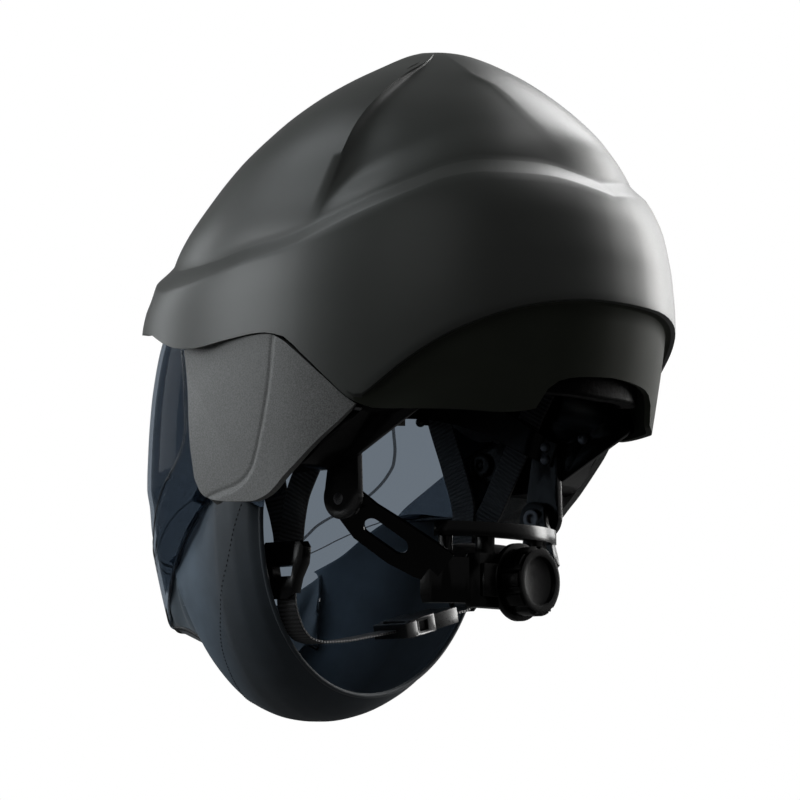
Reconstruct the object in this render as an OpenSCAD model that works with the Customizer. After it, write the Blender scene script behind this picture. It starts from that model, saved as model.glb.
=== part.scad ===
// Arc flash helmet: full shell, side plates, swinging visor with a chin bib, and a harness with a ratchet knob.
// Units are millimetres. -Y is the front, +X the wearer's left, +Z up. The origin is the head seat:
// the middle of the shell, level with the lower edge of its sides.

/* [Shell] */
// Width of the shell at the side plates
shell_width = 226; // [224:1:232]
// Thickness of the shell wall
shell_wall = 3; // [2.4:0.1:3.2]
// Height of the crown above the head seat
crown_height = 186; // [184:1:194]
// Depth of the hollow behind each crown crease
scoop_depth = 7; // [4:0.5:8]
// Thickness of the side plates
plate_wall = 6; // [5:0.5:6.5]

/* [Visor] */
// Thickness of the visor
visor_wall = 2; // [1.6:0.1:2.2]
// Radius of the pivot pins
pivot_r = 4; // [3.5:0.25:4.5]
// Thickness of the bib laminate
bib_wall = 1.6; // [1.4:0.1:1.8]

/* [Harness] */
// Thickness of the head band
band_wall = 1.6; // [1.4:0.1:1.8]
// Width of the drop straps
strap_width = 15; // [13:0.5:16]
// Thickness of all webbing
strap_wall = 1.4; // [1.2:0.1:1.5]
// Radius of the fit knob
knob_r = 17; // [15:0.5:18]
// Height of the fit knob
knob_height = 12; // [10:0.5:13]

/* [Render] */
// Which node to build

/* [Hidden] */
$fn = 48;
half = shell_width / 2;
grow = half - 113;
peak_grow = crown_height - 186;
clear = 0.05;
gap = 0.3;

// Smooth step from 0 at a to 1 at b
function sm(a, b, x) = let (t = max(0, min(1, (x - a) / (b - a)))) t * t * (3 - 2 * t);
function unit(v) = v / norm(v);
function flip(p) = [-p[0], p[1], p[2]];

// Shell plan: half lengths to the front and rear, and how far the side falls in, by height
FRONT = [[-15, 148], [0, 148], [45, 146.5], [55, 143.8], [62, 140], [75, 135.2], [85, 131.5], [105, 119.5],
    [125, 103.5], [143, 82], [157, 61.5], [167, 42], [176, 23.5], [183, 9], [186, 3]];
SIDE = [[-15, 1], [30, 0], [50, 0.5], [65, 2], [75, 4], [85, 6], [105, 13], [125, 22],
    [143, 36], [157, 53], [167, 68.5], [176, 86], [183, 101], [186, 110]];
REAR = [[-15, 132], [0, 134], [45, 138], [65, 136.5], [85, 131], [98, 124], [108, 116.5],
    [125, 107], [145, 87], [162, 65], [174, 44], [181, 27.5], [184, 16], [186, 3]];
// Lower edge, rear overhang and belt ridge, by azimuth from the front
RIM = [[0, 54], [15, 52.5], [24, 48.5], [30, 46], [45, 41], [52, 35], [60, 30], [68, 28.5], [78, 30], [90, 31.5],
    [97, 29], [104, 18], [110, 7], [117, -5], [122, -8], [140, -9], [150, -10], [158, -8],
    [161, 2], [165, 7], [172, 9], [180, 10]];
ARCH = [[0, -50], [113, -50], [116, -3], [124, 8], [132, 20], [144, 31], [151, 38], [160, 42],
    [170, 45], [180, 45]];
BELT = [[0, 78], [26, 75.5], [36, 69], [44, 63], [52, 60.5], [60, 60.5], [69, 62], [82, 67], [96, 71],
    [106, 77], [115, 84], [129, 95], [137, 101], [146, 104], [160, 104], [174, 100], [180, 98]];
// Azimuth of the crown panel's crease and of the rear spine, by height
CREASE = [[60, 99], [77, 101], [88, 103], [103, 104], [121, 105], [136, 106], [154, 111],
    [166, 118], [174, 129], [186, 150]];
SPINE = [[100, 172], [112, 170], [128, 166], [139, 163], [156, 159], [166, 152], [176, 152], [186, 160]];

function centre_y(z) = 10 * sm(55, 150, z);
function super(a, b, n, c, s) = pow(pow(abs(c / a), n) + pow(abs(s / b), n), -1 / n);
function shell_base(phi, z) =
    super(cos(phi) > 0 ? lookup(z, FRONT) : lookup(z, REAR),
        max(3, half - lookup(z, SIDE)), 2.2 - 0.2 * sm(90, 150, z), cos(phi), sin(phi));
function belt_top(phi) = lookup(phi, BELT) + 8 + 4 * sm(100, 40, phi) - 5 * sm(46, 26, phi);
function belt_inset(phi, z) =
    (7 - 3 * sm(10, 70, phi) * sm(160, 110, phi)) * sm(lookup(phi, BELT), belt_top(phi), z)
    * (1 - pow(max(0, min(1, (z - 100) / 86)), 2));
function arch_inset(phi, z) = 5 * sm(114, 124, phi) * (z < lookup(phi, ARCH) ? 1 : 0);
function scoop(phi, z) = let (
        c = lookup(z, CREASE),
        s = lookup(z, SPINE),
        k = max(0, min(1, (phi - c) / (s - c))),
        t = belt_top(phi))
    (phi > c && phi < s && z > t)
        ? scoop_depth * sm(t, t + 22, z) * sm(187, 166, z) * sm(0, 0.16, k) * pow(1 - k, 0.7) : 0;
function shell_r(phi, z) = shell_base(phi, z) - belt_inset(phi, z) - arch_inset(phi, z) - scoop(phi, z);
function lift(z) = z + peak_grow * sm(60, 186, z);
function shell_pt(side, phi, z, off) = let (r = shell_r(phi, z) - off, d = off * sm(110, 186, z))
    [side * r * sin(phi), centre_y(z) - r * cos(phi), lift(z) - d];
// Columns follow the crease and the spine: front panel, hollow, rear spine
function col_phi(c, z) = let (a = lookup(z, CREASE), s = lookup(z, SPINE) + 2)
    c < 14 ? (a - 0.4) * c / 13
    : c < 27 ? a + 0.8 + (s - 2 - a - 0.8) * (c - 14) / 12
    : s + (180 - s) * (c - 27) / 2;
CROWN = [0.1, 0.22, 0.36, 0.5, 0.64, 0.77, 0.88, 0.95];
function row_z(r, p) = let (
        rim = lookup(p, RIM),
        belt = lookup(p, BELT),
        arch = max(lookup(p, ARCH), rim + 3))
    r == 0 ? rim
    : r == 1 ? arch - 0.7
    : r == 2 ? arch + 0.7
    : r == 3 ? arch + (belt - arch) * 0.35
    : r == 4 ? arch + (belt - arch) * 0.7
    : r == 5 ? belt
    : r == 6 ? belt + (belt_top(p) - belt) * 0.5
    : r == 7 ? belt_top(p)
    : belt_top(p) + (185.6 - belt_top(p)) * CROWN[r - 8];
function row_pt(r, c, side, off) = let (
        p0 = col_phi(c, 77),
        z = row_z(r, p0),
        p = r < 8 ? p0 : col_phi(c, z))
    shell_pt(side, p, z, off);
function shell_row(r, off) = concat(
    [for (c = [0:29]) row_pt(r, c, 1, off)],
    [for (c = [28:-1:1]) row_pt(r, c, -1, off)]);

// Thick surface between an outer and an inner grid of points; columns run to the right, rows up
module skin(o, i, wrap = false, tip = []) {
    nr = len(o);
    nc = len(o[0]);
    n = nr * nc;
    k = n - nc;
    last = wrap ? nc - 1 : nc - 2;
    pts = concat([for (r = o) for (p = r) p], [for (r = i) for (p = r) p], tip);
    body = [for (r = [0:nr - 2]) for (c = [0:last])
        let (a = r * nc + c, b = r * nc + (c + 1) % nc, e = a + nc, f = b + nc)
        each [[a, e, f], [a, f, b], [n + a, n + f, n + e], [n + a, n + b, n + f]]];
    low = [for (c = [0:last]) let (d = (c + 1) % nc) each [[c, d, n + d], [c, n + d, n + c]]];
    high = [for (c = [0:last]) let (d = (c + 1) % nc)
        each (len(tip) > 0
            ? [[k + c, 2 * n, k + d], [n + k + d, 2 * n + 1, n + k + c]]
            : [[k + d, k + c, n + k + c], [k + d, n + k + c, n + k + d]])];
    sides = wrap ? [] : [for (r = [0:nr - 2])
        let (a = r * nc, e = a + nc, b = a + nc - 1, f = b + nc)
        each [[e, a, n + a], [e, n + a, n + e], [b, f, n + f], [b, n + f, n + b]]];
    polyhedron(pts, concat(body, low, high, sides), convexity = 8);
}

// Flat webbing or strip: centre points, unit width vectors, width and thickness
module ribbon(p, w, width, t) {
    n = len(p);
    tan = [for (k = [0:n - 1]) unit(p[min(k + 1, n - 1)] - p[max(k - 1, 0)])];
    nrm = [for (k = [0:n - 1]) unit(cross(w[k], tan[k]))];
    wid = is_list(width) ? width : [for (k = [0:n - 1]) width];
    o = [for (k = [0:n - 1]) [p[k] + nrm[k] * t / 2 - w[k] * wid[k] / 2, p[k] + nrm[k] * t / 2 + w[k] * wid[k] / 2]];
    i = [for (k = [0:n - 1]) [p[k] - nrm[k] * t / 2 - w[k] * wid[k] / 2, p[k] - nrm[k] * t / 2 + w[k] * wid[k] / 2]];
    skin(o, i);
}

// Moves the local x axis onto x and the local z axis onto z, at point o
module place(o, x, z) {
    u = unit(x);
    w = unit(z - u * (z * u));
    v = cross(w, u);
    translate(o)
        rotate([atan2(v[2], w[2]), asin(-u[2]), atan2(u[1], u[0])])
            children();
}

// Outline in the side view (y, z) extruded from x0 to x1
module side_slab(x0, x1) {
    translate([x0, 0, 0])
        rotate([90, 0, 90])
            linear_extrude(x1 - x0) children();
}
module x_rod(x0, x1, r, y, z) {
    translate([x0, y, z]) rotate([0, 90, 0]) cylinder(r = r, h = x1 - x0);
}
module y_rod(y0, y1, r, x, z) {
    translate([x, y0, z]) rotate([-90, 0, 0]) cylinder(r = r, h = y1 - y0);
}
module twin() {
    children();
    mirror([1, 0, 0]) children();
}

// Side view outlines
PIVOT = [-18, -16];
TILT = [22, -47];
PLATE = [[-57, 27.5], [-23, 28.7], [0, 30.2], [8, 28.6], [13, 27], [22, 20], [38.5, 5.3], [51, -6.2],
    [29, -27], [10, -43.5], [5, -46.5], [0, -48], [-6, -49], [-28, -49], [-33, -47.5], [-36.5, -43],
    [-38, -39], [-45, -12]];
PAD = [[-57.5, 28], [-23, 29.2], [2, 31], [1.5, 15], [1, 0], [-1, -14], [-3, -24], [-5.5, -31], [-9, -36.5],
    [-14, -40], [-24, -43.5], [-34, -46], [-37, -42], [-38.5, -39], [-45.5, -12]];
plate_r = 254;
plate_x = half - plate_r;
wall_x = half - 32.5;
wall_t = 2.6;
arm_x = half - 25.5;

// Shell group

module outer_shell() {
    color("DarkSlateGray")
    skin([for (r = [0:15]) shell_row(r, 0)], [for (r = [0:15]) shell_row(r, shell_wall)], true,
        [[0, 10, lift(186)], [0, 10, lift(186) - shell_wall * 1.2]]);
}

LINER_RIM = [[0, 74], [40, 66], [60, 46], [72, 34], [90, 32], [120, 30], [140, 12], [152, 2], [180, 0]];
function liner_pt(side, phi, s, off) = let (
        z0 = lookup(phi, LINER_RIM),
        top = 112 - off * 0.8,
        z = z0 + (top - z0) * sin(90 * s),
        k = sqrt(max(0, 1 - pow(max(0, (z - 12)) / (top - 12), 2))),
        r = super(cos(phi) > 0 ? 108 - off : 119 - off, 88 - off * 0.8, 2.1, cos(phi), sin(phi)) * k)
    [side * r * sin(phi), 4 - r * cos(phi), z];
function liner_row(s, off) = concat(
    [for (c = [0:15]) liner_pt(1, c * 12, s, off)],
    [for (c = [14:-1:1]) liner_pt(-1, c * 12, s, off)]);
LINER_S = [0, 0.14, 0.28, 0.42, 0.56, 0.68, 0.78, 0.87, 0.94];
module inner_liner() {
    color("#161616")
    skin([for (s = LINER_S) liner_row(s, 0)], [for (s = LINER_S) liner_row(s, 9)], true,
        [[0, 4, 112], [0, 4, 104.8]]);
}

CLIPS = [[97, 46], [138, 46]];
module liner_clip(phi, z) {
    k = sqrt(1 - pow((z - 5 - 12) / 100, 2));
    r0 = super(cos(phi) > 0 ? 108 : 119, 88, 2.1, cos(phi), sin(phi)) * k + 1.2;
    r1 = shell_r(phi, z) - shell_wall - 0.9;
    rotate([0, 0, phi - 90])
        difference() {
            translate([r0, -9, z - 7]) cube([r1 - r0, 18, 14]);
            translate([r0 + 3, -6, z - 8]) cube([r1 - r0 - 6, 12, 16]);
        }
}
module liner_clips() {
    color("#202020")
    twin() for (c = CLIPS) liner_clip(c[0], c[1]);
}

module left_housing() {
    color("#141414")
    difference() {
        intersection() {
            union() {
                side_slab(wall_x, wall_x + wall_t)
                    polygon([[-6, 24], [58, 24], [73, 8], [78, -5], [36, -27], [26, -32], [12, -33], [-6, -33]]);
                side_slab(wall_x, wall_x + wall_t)
                    polygon([[-18, -8], [-5, -5], [-5, -27], [-18, -24]]);
                x_rod(wall_x, wall_x + wall_t, 8, PIVOT[0], PIVOT[1]);
                side_slab(wall_x, half)
                    polygon([[-5, 24], [12, 24], [21, 18.5], [37.5, 3.8], [48, -5.6], [60, -5.2], [78, -5],
                        [56, -9.4], [50, -8.2], [28.5, -27.6], [23, -31.5], [18, -33], [-5, -33]]);
                side_slab(wall_x, half)
                    polygon([[36, 3.6], [58, 20], [73, 8], [78, -5], [50, -8]]);
            }
            translate([plate_x, 0, -60]) cylinder(r = plate_r - plate_wall - 0.2, h = 120, $fn = 180);
            linear_extrude(200, center = true)
                polygon([[wall_x - 1, -60], [half, -60], [half, 20], [half - 12, 38], [half - 18, 52],
                    [half - 25, 70], [wall_x + 4, 80], [wall_x - 1, 80]]);
        }
        side_slab(wall_x + wall_t, half)
            polygon([[-2, 21], [10, 21], [19, 15.5], [46, -8.5], [27, -24], [20, -29], [15, -30], [-2, -30]]);
        x_rod(wall_x - 1, wall_x + 5, pivot_r, PIVOT[0], PIVOT[1]);
        for (p = SCREWS) x_rod(wall_x - 1, half, 1.6, p[0], p[1]);
        for (p = RIVETS) x_rod(wall_x - 1, wall_x + 5, 1.6, p[0], p[1]);
    }
}
module right_housing() mirror([1, 0, 0]) left_housing();

SCREWS = [[49, -6.8], [-3.5, 22]];
module left_side_plate() {
    color("Gray")
    union() {
        intersection() {
            side_slab(half - 30, half + 2) polygon(PLATE);
            difference() {
                translate([plate_x, 0, -60]) cylinder(r = plate_r - 1, h = 120, $fn = 180);
                translate([plate_x, 0, -61]) cylinder(r = plate_r - plate_wall, h = 122, $fn = 180);
            }
        }
        intersection() {
            side_slab(half - 30, half + 2) intersection() {
                polygon(PAD);
                polygon(PLATE);
            }
            difference() {
                translate([plate_x, 0, -60]) cylinder(r = plate_r, h = 120, $fn = 180);
                translate([plate_x, 0, -61]) cylinder(r = plate_r - plate_wall + 1, h = 122, $fn = 180);
            }
        }
        translate([half - 13.5, -40, 16]) cube([5, 30, 22]);
    }
}
module right_side_plate() mirror([1, 0, 0]) left_side_plate();
module plate_screws() {
    color("#303030")
    twin() for (p = SCREWS) {
        x_rod(wall_x - 1.5, wall_x - 0.05, 3, p[0], p[1]);
        x_rod(wall_x - 0.5, wall_x + 20, 1.55, p[0], p[1]);
    }
}

module left_pivot_pin() {
    color("#2a2a2a")
    difference() {
        union() {
            x_rod(wall_x - 2, wall_x - 0.02, 6.5, PIVOT[0], PIVOT[1]);
            x_rod(wall_x - 1, arm_x + 5, pivot_r, PIVOT[0], PIVOT[1]);
            x_rod(arm_x + 0.6, arm_x + 5, 6.5, PIVOT[0], PIVOT[1]);
        }
        x_rod(wall_x - 3, wall_x - 0.8, 2.2, PIVOT[0], PIVOT[1]);
    }
}
module right_pivot_pin() mirror([1, 0, 0]) left_pivot_pin();

// Visor and bib

VISOR_Y = [[-104, -147], [-100, -148], [-85, -151], [-73, -153], [-61, -154.5], [-49, -155.5],
    [-24, -154.5], [-6, -153.5], [12, -151.5], [24, -149], [36, -145.5], [46, -141], [60, -133]];
VISOR_X = [[-104, -23.5], [-100, -22.5], [-89, -19], [-73, -14], [-56, -8.5], [-41, -5], [-31, -0.6],
    [-22, 0], [46, 0], [60, -2]];
VISOR_LOW = [[0, -102], [14, -101], [26, -97], [34, -91], [41, -86], [52, -72], [64, -54], [71, -42],
    [80, -35], [90, -30]];
VISOR_TOP = [[0, 58], [40, 53], [54, 45], [64, 34], [72, 22], [80, 8], [90, -3]];
visor_y0 = -22;
function visor_pt(t, z, off) = let (
        a = visor_y0 - lookup(z, VISOR_Y) - off,
        b = arm_x + lookup(z, VISOR_X) - off,
        k = pow(pow(abs(cos(t)), 2.3) + pow(abs(sin(t)), 2.3), -1 / 2.3))
    [b * k * sin(t), visor_y0 - a * k * cos(t), z];
VISOR_T = [for (k = [0:30]) -90 + 6 * k];
function visor_row(s, off) = [for (t = VISOR_T)
    let (a = lookup(abs(t), VISOR_LOW), b = lookup(abs(t), VISOR_TOP)) visor_pt(t, a + (b - a) * s, off)];
VISOR_S = [0, 0.12, 0.25, 0.38, 0.5, 0.62, 0.74, 0.87, 1];
module visor() {
    color("LightSteelBlue", 0.5)
    difference() {
        union() {
            skin([for (s = VISOR_S) visor_row(s, 0)], [for (s = VISOR_S) visor_row(s, visor_wall)]);
            twin() x_rod(arm_x - visor_wall, arm_x, 12.6, PIVOT[0], PIVOT[1]);
            twin() side_slab(arm_x - visor_wall, arm_x)
                polygon([[PIVOT[0], -28.5], [PIVOT[0], -3.5], [-30, -1], [-30, -31]]);
        }
        x_rod(-half, half, pivot_r + clear, PIVOT[0], PIVOT[1]);
    }
}

CLAMP_T = [for (k = [0:22]) -66 + 6 * k];
module bib_clamp() {
    color("#26303a")
    skin([for (h = [1, 4, 7]) [for (t = CLAMP_T) visor_pt(t, lookup(abs(t), VISOR_LOW) + h, visor_wall + 0.05)]],
        [for (h = [1, 4, 7]) [for (t = CLAMP_T) visor_pt(t, lookup(abs(t), VISOR_LOW) + h, visor_wall + 1.25)]]);
}

// Bib rows from the neck to the seam: y at the bottom, y at the top, half width, z at the top, z at the bottom
BIB = [[-28, -21, 90, -49, -141], [-37, -28, 90.5, -45, -146], [-47, -37, 89.5, -42, -149.5],
    [-57, -45, 87, -41, -151], [-67, -53, 83, -41, -151], [-76, -60, 79, -39, -149.5],
    [-84, -68, 74, -36.5, -147.5], [-93, -77, 71, -44, -144], [-100, -89, 66, -54, -138],
    [-104, -98, 60.5, -63, -131], [-105, -104, 57, -69, -125]];
// Soft upright folds of the laminate: in and out by turns from row to row, gone at the top edge and the keel
function fold_in(row, q) = (row[1] > -25 || row[1] < -100) ? 0
    : 1.1 * sin(row[1] * 11) * sin(min(90, abs(q) * 3)) * sm(90, 66, abs(q));
function bib_pt(row, q, off) = let (
        d = off + fold_in(row, q), w = row[2] + grow - d, h = row[3] - row[4] - d, c = cos(q), f = pow(c, 1.2))
    [w * sin(q), row[1] + (row[0] - row[1]) * f, row[3] - h * c];
BIB_Q = [-90, -82, -74, -66, -58, -50, -42, -34, -26, -17, -8, 0, 8, 17, 26, 34, 42, 50, 58, 66, 74, 82, 90];
module bib_body() {
    color("SlateGray")
    skin([for (row = BIB) [for (q = BIB_Q) bib_pt(row, q, 0)]],
        [for (row = BIB) [for (q = BIB_Q) bib_pt(row, q, bib_wall)]]);
}
module neck_binding() {
    color("#2b333c")
    skin([[for (q = BIB_Q) bib_pt(BIB[0], q, -1.2) + [0, 2.6, 0]], [for (q = BIB_Q) bib_pt(BIB[0], q, -1.2) + [0, 0.15, 0]]],
        [[for (q = BIB_Q) bib_pt(BIB[0], q, bib_wall + 1.4) + [0, 2.6, 0]],
            [for (q = BIB_Q) bib_pt(BIB[0], q, bib_wall + 1.4) + [0, 0.15, 0]]]);
}

CHIN_T = [for (k = [0:16]) -56 + 7 * k];
HEM_X = [[0, 0], [14, 14], [28, 27], [42, 35], [56, 33]];
HEM_Y = [[0, -143.5], [14, -141], [28, -129], [42, -112], [56, -97]];
HEM_Z = [[0, -109], [14, -110], [28, -112], [42, -112.5], [56, -111]];
END = [55.5, -97, -70];
function hem_pt(t) = [sign(t) * lookup(abs(t), HEM_X), lookup(abs(t), HEM_Y), lookup(abs(t), HEM_Z)];
function inward(p, d) = p + d * unit([-p[0], -40 - p[1], 0]);
function chin_top(t) = let (
        k = sm(44, 56, abs(t)),
        a = visor_pt(t, lookup(abs(t), VISOR_LOW) + 6, visor_wall + 1.55),
        b = [sign(t) * (END[0] + grow), END[1], END[2]])
    a + (b - a) * k;
function chin_pt(t, s, off) = let (a = chin_top(t), m = a + (hem_pt(t) - a) * s)
    inward(m, off - 2.5 * sin(180 * s) * cos(t * 1.4));
module chin_panel() {
    color("#3a4450")
    skin([for (s = [1, 0.8, 0.6, 0.4, 0.2, 0]) [for (t = CHIN_T) chin_pt(t, s, 0)]],
        [for (s = [1, 0.8, 0.6, 0.4, 0.2, 0]) [for (t = CHIN_T) chin_pt(t, s, 1.2)]]);
}

// Head band

BAND = [[0, -98, 22], [15, -97, 22], [30, -92.5, 22], [43.5, -84, 21.5], [55, -71.5, 21], [64, -56, 20],
    [69, -39, 17], [71.2, -21, 12], [72, -3, 5], [72.2, 12, -3], [72.8, 19.5, -7], [76, 26.5, -11.5], [76, 33, -14.5]];
BAND_W = [24, 24, 24, 23, 22, 20, 18, 17, 16, 15, 14, 13, 13];
BAND_DOWN = [for (k = [0:12]) unit([0, 0, -1] - [0, 0.35, 0] * sm(4, 10, k))];
function full(list) = concat([for (k = [len(list) - 1:-1:1]) flip(list[k])], list);
function fold(list) = concat([for (k = [len(list) - 1:-1:1]) list[k]], list);
// The band's sides keep to the shell's width, and what sits on the band moves with it
function spread(p) = p + [grow * sign(p[0]) * sm(0, 70, abs(p[0])), 0, 0];
module headband() {
    color("#181818")
    ribbon([for (p = full(BAND)) spread(p)], fold(BAND_DOWN), fold(BAND_W), band_wall);
}
module band_hooks() {
    color("#202020")
    twin() ribbon([for (p = [[30.4, -94.2, 18], [30, -93, 38], [28.5, -81, 61], [27, -67.5, 76]]) spread(p)],
        [for (k = [0:3]) [0.91, 0.41, 0]], 12, 1.6);
}
function pad_in(p, d) = p - d * unit([p[0] / 0.55, p[1], 0]);
PAD_K = [0, 1, 2, 3, 4, 5];
module brow_pad() {
    color("BurlyWood")
    ribbon([for (p = full([for (k = PAD_K) spread(BAND[k]) + [0, 0, -2]])) pad_in(p, band_wall / 2 + 1.8)],
        fold([for (k = PAD_K) BAND_DOWN[k]]), fold([for (k = PAD_K) 29 - k]), 3);
}
module brow_snaps() {
    color("#111111")
    twin() translate([68.2 + grow, -49, 8]) rotate([0, 90, 18]) {
        translate([0, 0, -0.6]) sphere(r = 2.6);
        cylinder(r = 1.5, h = 4);
    }
}

// Hangers and nape cradle

hang_x = half - 36.1;
hang_t = 3.4;
module left_hanger() {
    color("#1b1b1b")
    difference() {
        union() {
            x_rod(hang_x, hang_x + hang_t, 11, TILT[0] + 2, TILT[1] + 1);
            x_rod(hang_x, hang_x + hang_t, 8, 26, -14);
            side_slab(hang_x, hang_x + hang_t)
                polygon([[13.02, -46.6], [18.02, -14.5], [33.95, -13.2], [34.98, -45.2]]);
        }
        x_rod(hang_x - 1, hang_x + 5, 3, TILT[0], TILT[1]);
        for (p = RIVETS) x_rod(hang_x - 1, hang_x + 5, 1.6, p[0], p[1]);
    }
}
module right_hanger() mirror([1, 0, 0]) left_hanger();
RIVETS = [[28, -10], [28, -16.5]];
module hanger_rivets() {
    color("#2c2c2c")
    twin() for (p = RIVETS) {
        x_rod(hang_x - 2.6, hang_x - 1.5, 2.6, p[0], p[1]);
        x_rod(hang_x - 2, wall_x + wall_t + 0.5, 1.55, p[0], p[1]);
        x_rod(wall_x + wall_t + 0.03, wall_x + wall_t + 1, 2.6, p[0], p[1]);
    }
}
module left_tilt_screw() {
    color("#3a3a3a")
    difference() {
        union() {
            x_rod(hang_x - 6.6, hang_x - 4.3, 5, TILT[0], TILT[1]);
            x_rod(hang_x - 5, hang_x + hang_t, 3, TILT[0], TILT[1]);
        }
        x_rod(hang_x - 7, hang_x - 5.2, 2, TILT[0], TILT[1]);
    }
}
module right_tilt_screw() mirror([1, 0, 0]) left_tilt_screw();

arm_a = [hang_x - 2.2, TILT[0], TILT[1]];
arm_b = [41, 55, -80];
arm_d = unit(arm_b - arm_a);
arm_l = norm(arm_b - arm_a);
module left_nape_arm() {
    color("#161616")
    difference() {
        union() {
            x_rod(arm_a[0] - 1.9, arm_a[0] + 1.9, 9, TILT[0], TILT[1]);
            place(arm_a, arm_d, [1, 0, 0])
                translate([0, 0, -1.5])
                    linear_extrude(3) difference() {
                        polygon([[0, -8.5], [14, -13.5], [34, -14], [48, -12], [arm_l, -9], [arm_l, 9],
                            [46, 9], [30, 8.5], [14, 7.5], [0, 8.5]]);
                        translate([18, -3]) circle(r = 4.2);
                        translate([34, -3]) circle(r = 4.2);
                        translate([18, -7.2]) square([16, 8.4]);
                    }
        }
        x_rod(arm_a[0] - 4, arm_a[0] + 4, 3 + clear, TILT[0], TILT[1]);
        x_rod(arm_a[0] - 9, arm_a[0] - 1.9, 5.6, TILT[0], TILT[1]);
        translate([arm_a[0] + 1.9, TILT[0] - 30, TILT[1] - 30]) cube([20, 42, 60]);
    }
}
module right_nape_arm() mirror([1, 0, 0]) left_nape_arm();

knob_z = -85;
mod = 1.25;
teeth = 12;
pitch_r = mod * teeth / 2;
box_y0 = 58;
box_y1 = 67;
chan_y0 = 60.4;
chan_y1 = 66;
rail_h = 4;
module nape_carrier() {
    color("#131313")
    difference() {
        union() {
            translate([-28, box_y0, knob_z - 13]) cube([56, box_y1 - box_y0, 26]);
            intersection() {
                translate([0, -7, knob_z - 11]) difference() {
                    cylinder(r = 73, h = 22, $fn = 120);
                    translate([0, 0, -1]) cylinder(r = 68.5, h = 24, $fn = 120);
                }
                for (s = [-1, 1]) translate([s * 35 - 10.5, 40, knob_z - 13]) cube([21, 30, 26]);
                y_rod(30, 90, 46, 0, knob_z);
            }
            intersection() {
                translate([0, -7, -64]) difference() {
                    cylinder(r = 79, h = 7, $fn = 120);
                    translate([0, 0, -1]) cylinder(r = 72, h = 9, $fn = 120);
                }
                translate([-43, 30, -70]) cube([86, 50, 20]);
            }
            for (s = [-1, 1]) translate([s * 19 - 2.5, box_y0 + 1, knob_z + 12]) cube([5, 8, 12]);
            for (s = [-1, 1]) translate([s * 37 - 2.5, 50.5, knob_z + 10]) cube([5, 5, 14]);
        }
        translate([-26.5, chan_y0, knob_z - 11.8]) cube([53, chan_y1 - chan_y0, 23.6]);
        y_rod(box_y1 - 2, box_y1 + 1, 10.5, 0, knob_z);
    }
}
module nape_cover() {
    color("#1c1c1c")
    difference() {
        union() {
            y_rod(box_y1 + 0.05, box_y1 + 3, 19, 0, knob_z);
            y_rod(box_y1 - 0.9, box_y1 + 1, 10.4, 0, knob_z);
            translate([-27, box_y1 + 0.05, knob_z - 8]) cube([54, 2.4, 16]);
        }
        y_rod(box_y1 - 3, box_y1 + 5, 4 + clear, 0, knob_z);
    }
}
module nape_pad() {
    color("#202225")
    intersection() {
        translate([0, -7, knob_z - 10]) difference() {
            cylinder(r = 64.4, h = 30, $fn = 96);
            translate([0, 0, -1]) cylinder(r = 58.5, h = 32, $fn = 96);
        }
        translate([-34, 30, knob_z - 12]) cube([68, 40, 34]);
    }
}

module fit_knob() {
    color("#101010")
    difference() {
        union() {
            y_rod(box_y1 + 3.2, box_y1 + 3.2 + knob_height, knob_r - 1.5, 0, knob_z);
            y_rod(box_y1 + 4.4, box_y1 + 1.8 + knob_height, knob_r, 0, knob_z);
            y_rod(chan_y0 + 0.4, box_y1 + 4, 4, 0, knob_z);
        }
        for (k = [0:9])
            y_rod(box_y1 + 3, box_y1 + 20, 2.6, (knob_r + 1.1) * sin(36 * k), knob_z + (knob_r + 1.1) * cos(36 * k));
        y_rod(box_y1 + 1.4 + knob_height, box_y1 + 20, knob_r - 5, 0, knob_z);
    }
}

// Involute pinion and straight racks, 20 degree pressure angle
base_r = pitch_r * cos(20);
tip_r = pitch_r + mod;
root_r = pitch_r - 1.15;
lash = 0.12;
function inv(r) = let (a = acos(min(1, base_r / r))) tan(a) * 180 / PI - a;
function flank(r) = 90 / teeth - lash / pitch_r * 180 / PI + inv(pitch_r) - inv(max(r, base_r));
GEAR_R = [root_r, base_r + 0.2, pitch_r, tip_r];
function tooth(a) = concat(
    [for (r = GEAR_R) r * [sin(a - flank(r)), cos(a - flank(r))]],
    [for (k = [3:-1:0]) GEAR_R[k] * [sin(a + flank(GEAR_R[k])), cos(a + flank(GEAR_R[k]))]]);
module pinion() {
    color("#d8d8d0")
    translate([0, chan_y1 - 0.4, knob_z])
        rotate([90, 0, 0])
            difference() {
                linear_extrude(chan_y1 - chan_y0 - 0.8)
                    polygon([for (k = [0:teeth - 1]) for (p = tooth(k * 360 / teeth)) p]);
                translate([0, 0, -1]) cylinder(r = 4, h = 10);
            }
}
pitch = PI * mod;
rack_add = 0.85;
rack_ded = 1.45;
module rack(n0, n1, back) {
    th = pitch / 4 - lash;
    linear_extrude(chan_y1 - chan_y0 - 0.8)
        polygon(concat(
            [[(n0 - 1) * pitch, rack_ded + 2.8], [(n0 - 1) * pitch, rack_ded]],
            [for (n = [n0:n1]) let (m = (n - 0.5) * pitch) each [
                [m - th - rack_ded * tan(20), rack_ded],
                [m - th + rack_add * tan(20), -rack_add],
                [m + th - rack_add * tan(20), -rack_add],
                [m + th + rack_ded * tan(20), rack_ded]]],
            [[back, rack_ded], [back, rack_ded + 2.8]]));
}
module left_rack() {
    color("#c8c8c0")
    translate([0, chan_y1 - 0.4, knob_z + pitch_r])
        rotate([90, 0, 0]) rack(-2, 4, 18);
}
module right_rack() {
    color("#c8c8c0")
    translate([0, chan_y1 - 0.4, knob_z - pitch_r])
        rotate([90, 180, 0]) mirror([0, 0, 1]) translate([0, 0, -(chan_y1 - chan_y0 - 0.8)]) rack(-2, 4, 18);
}

// Straps and buckle

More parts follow.
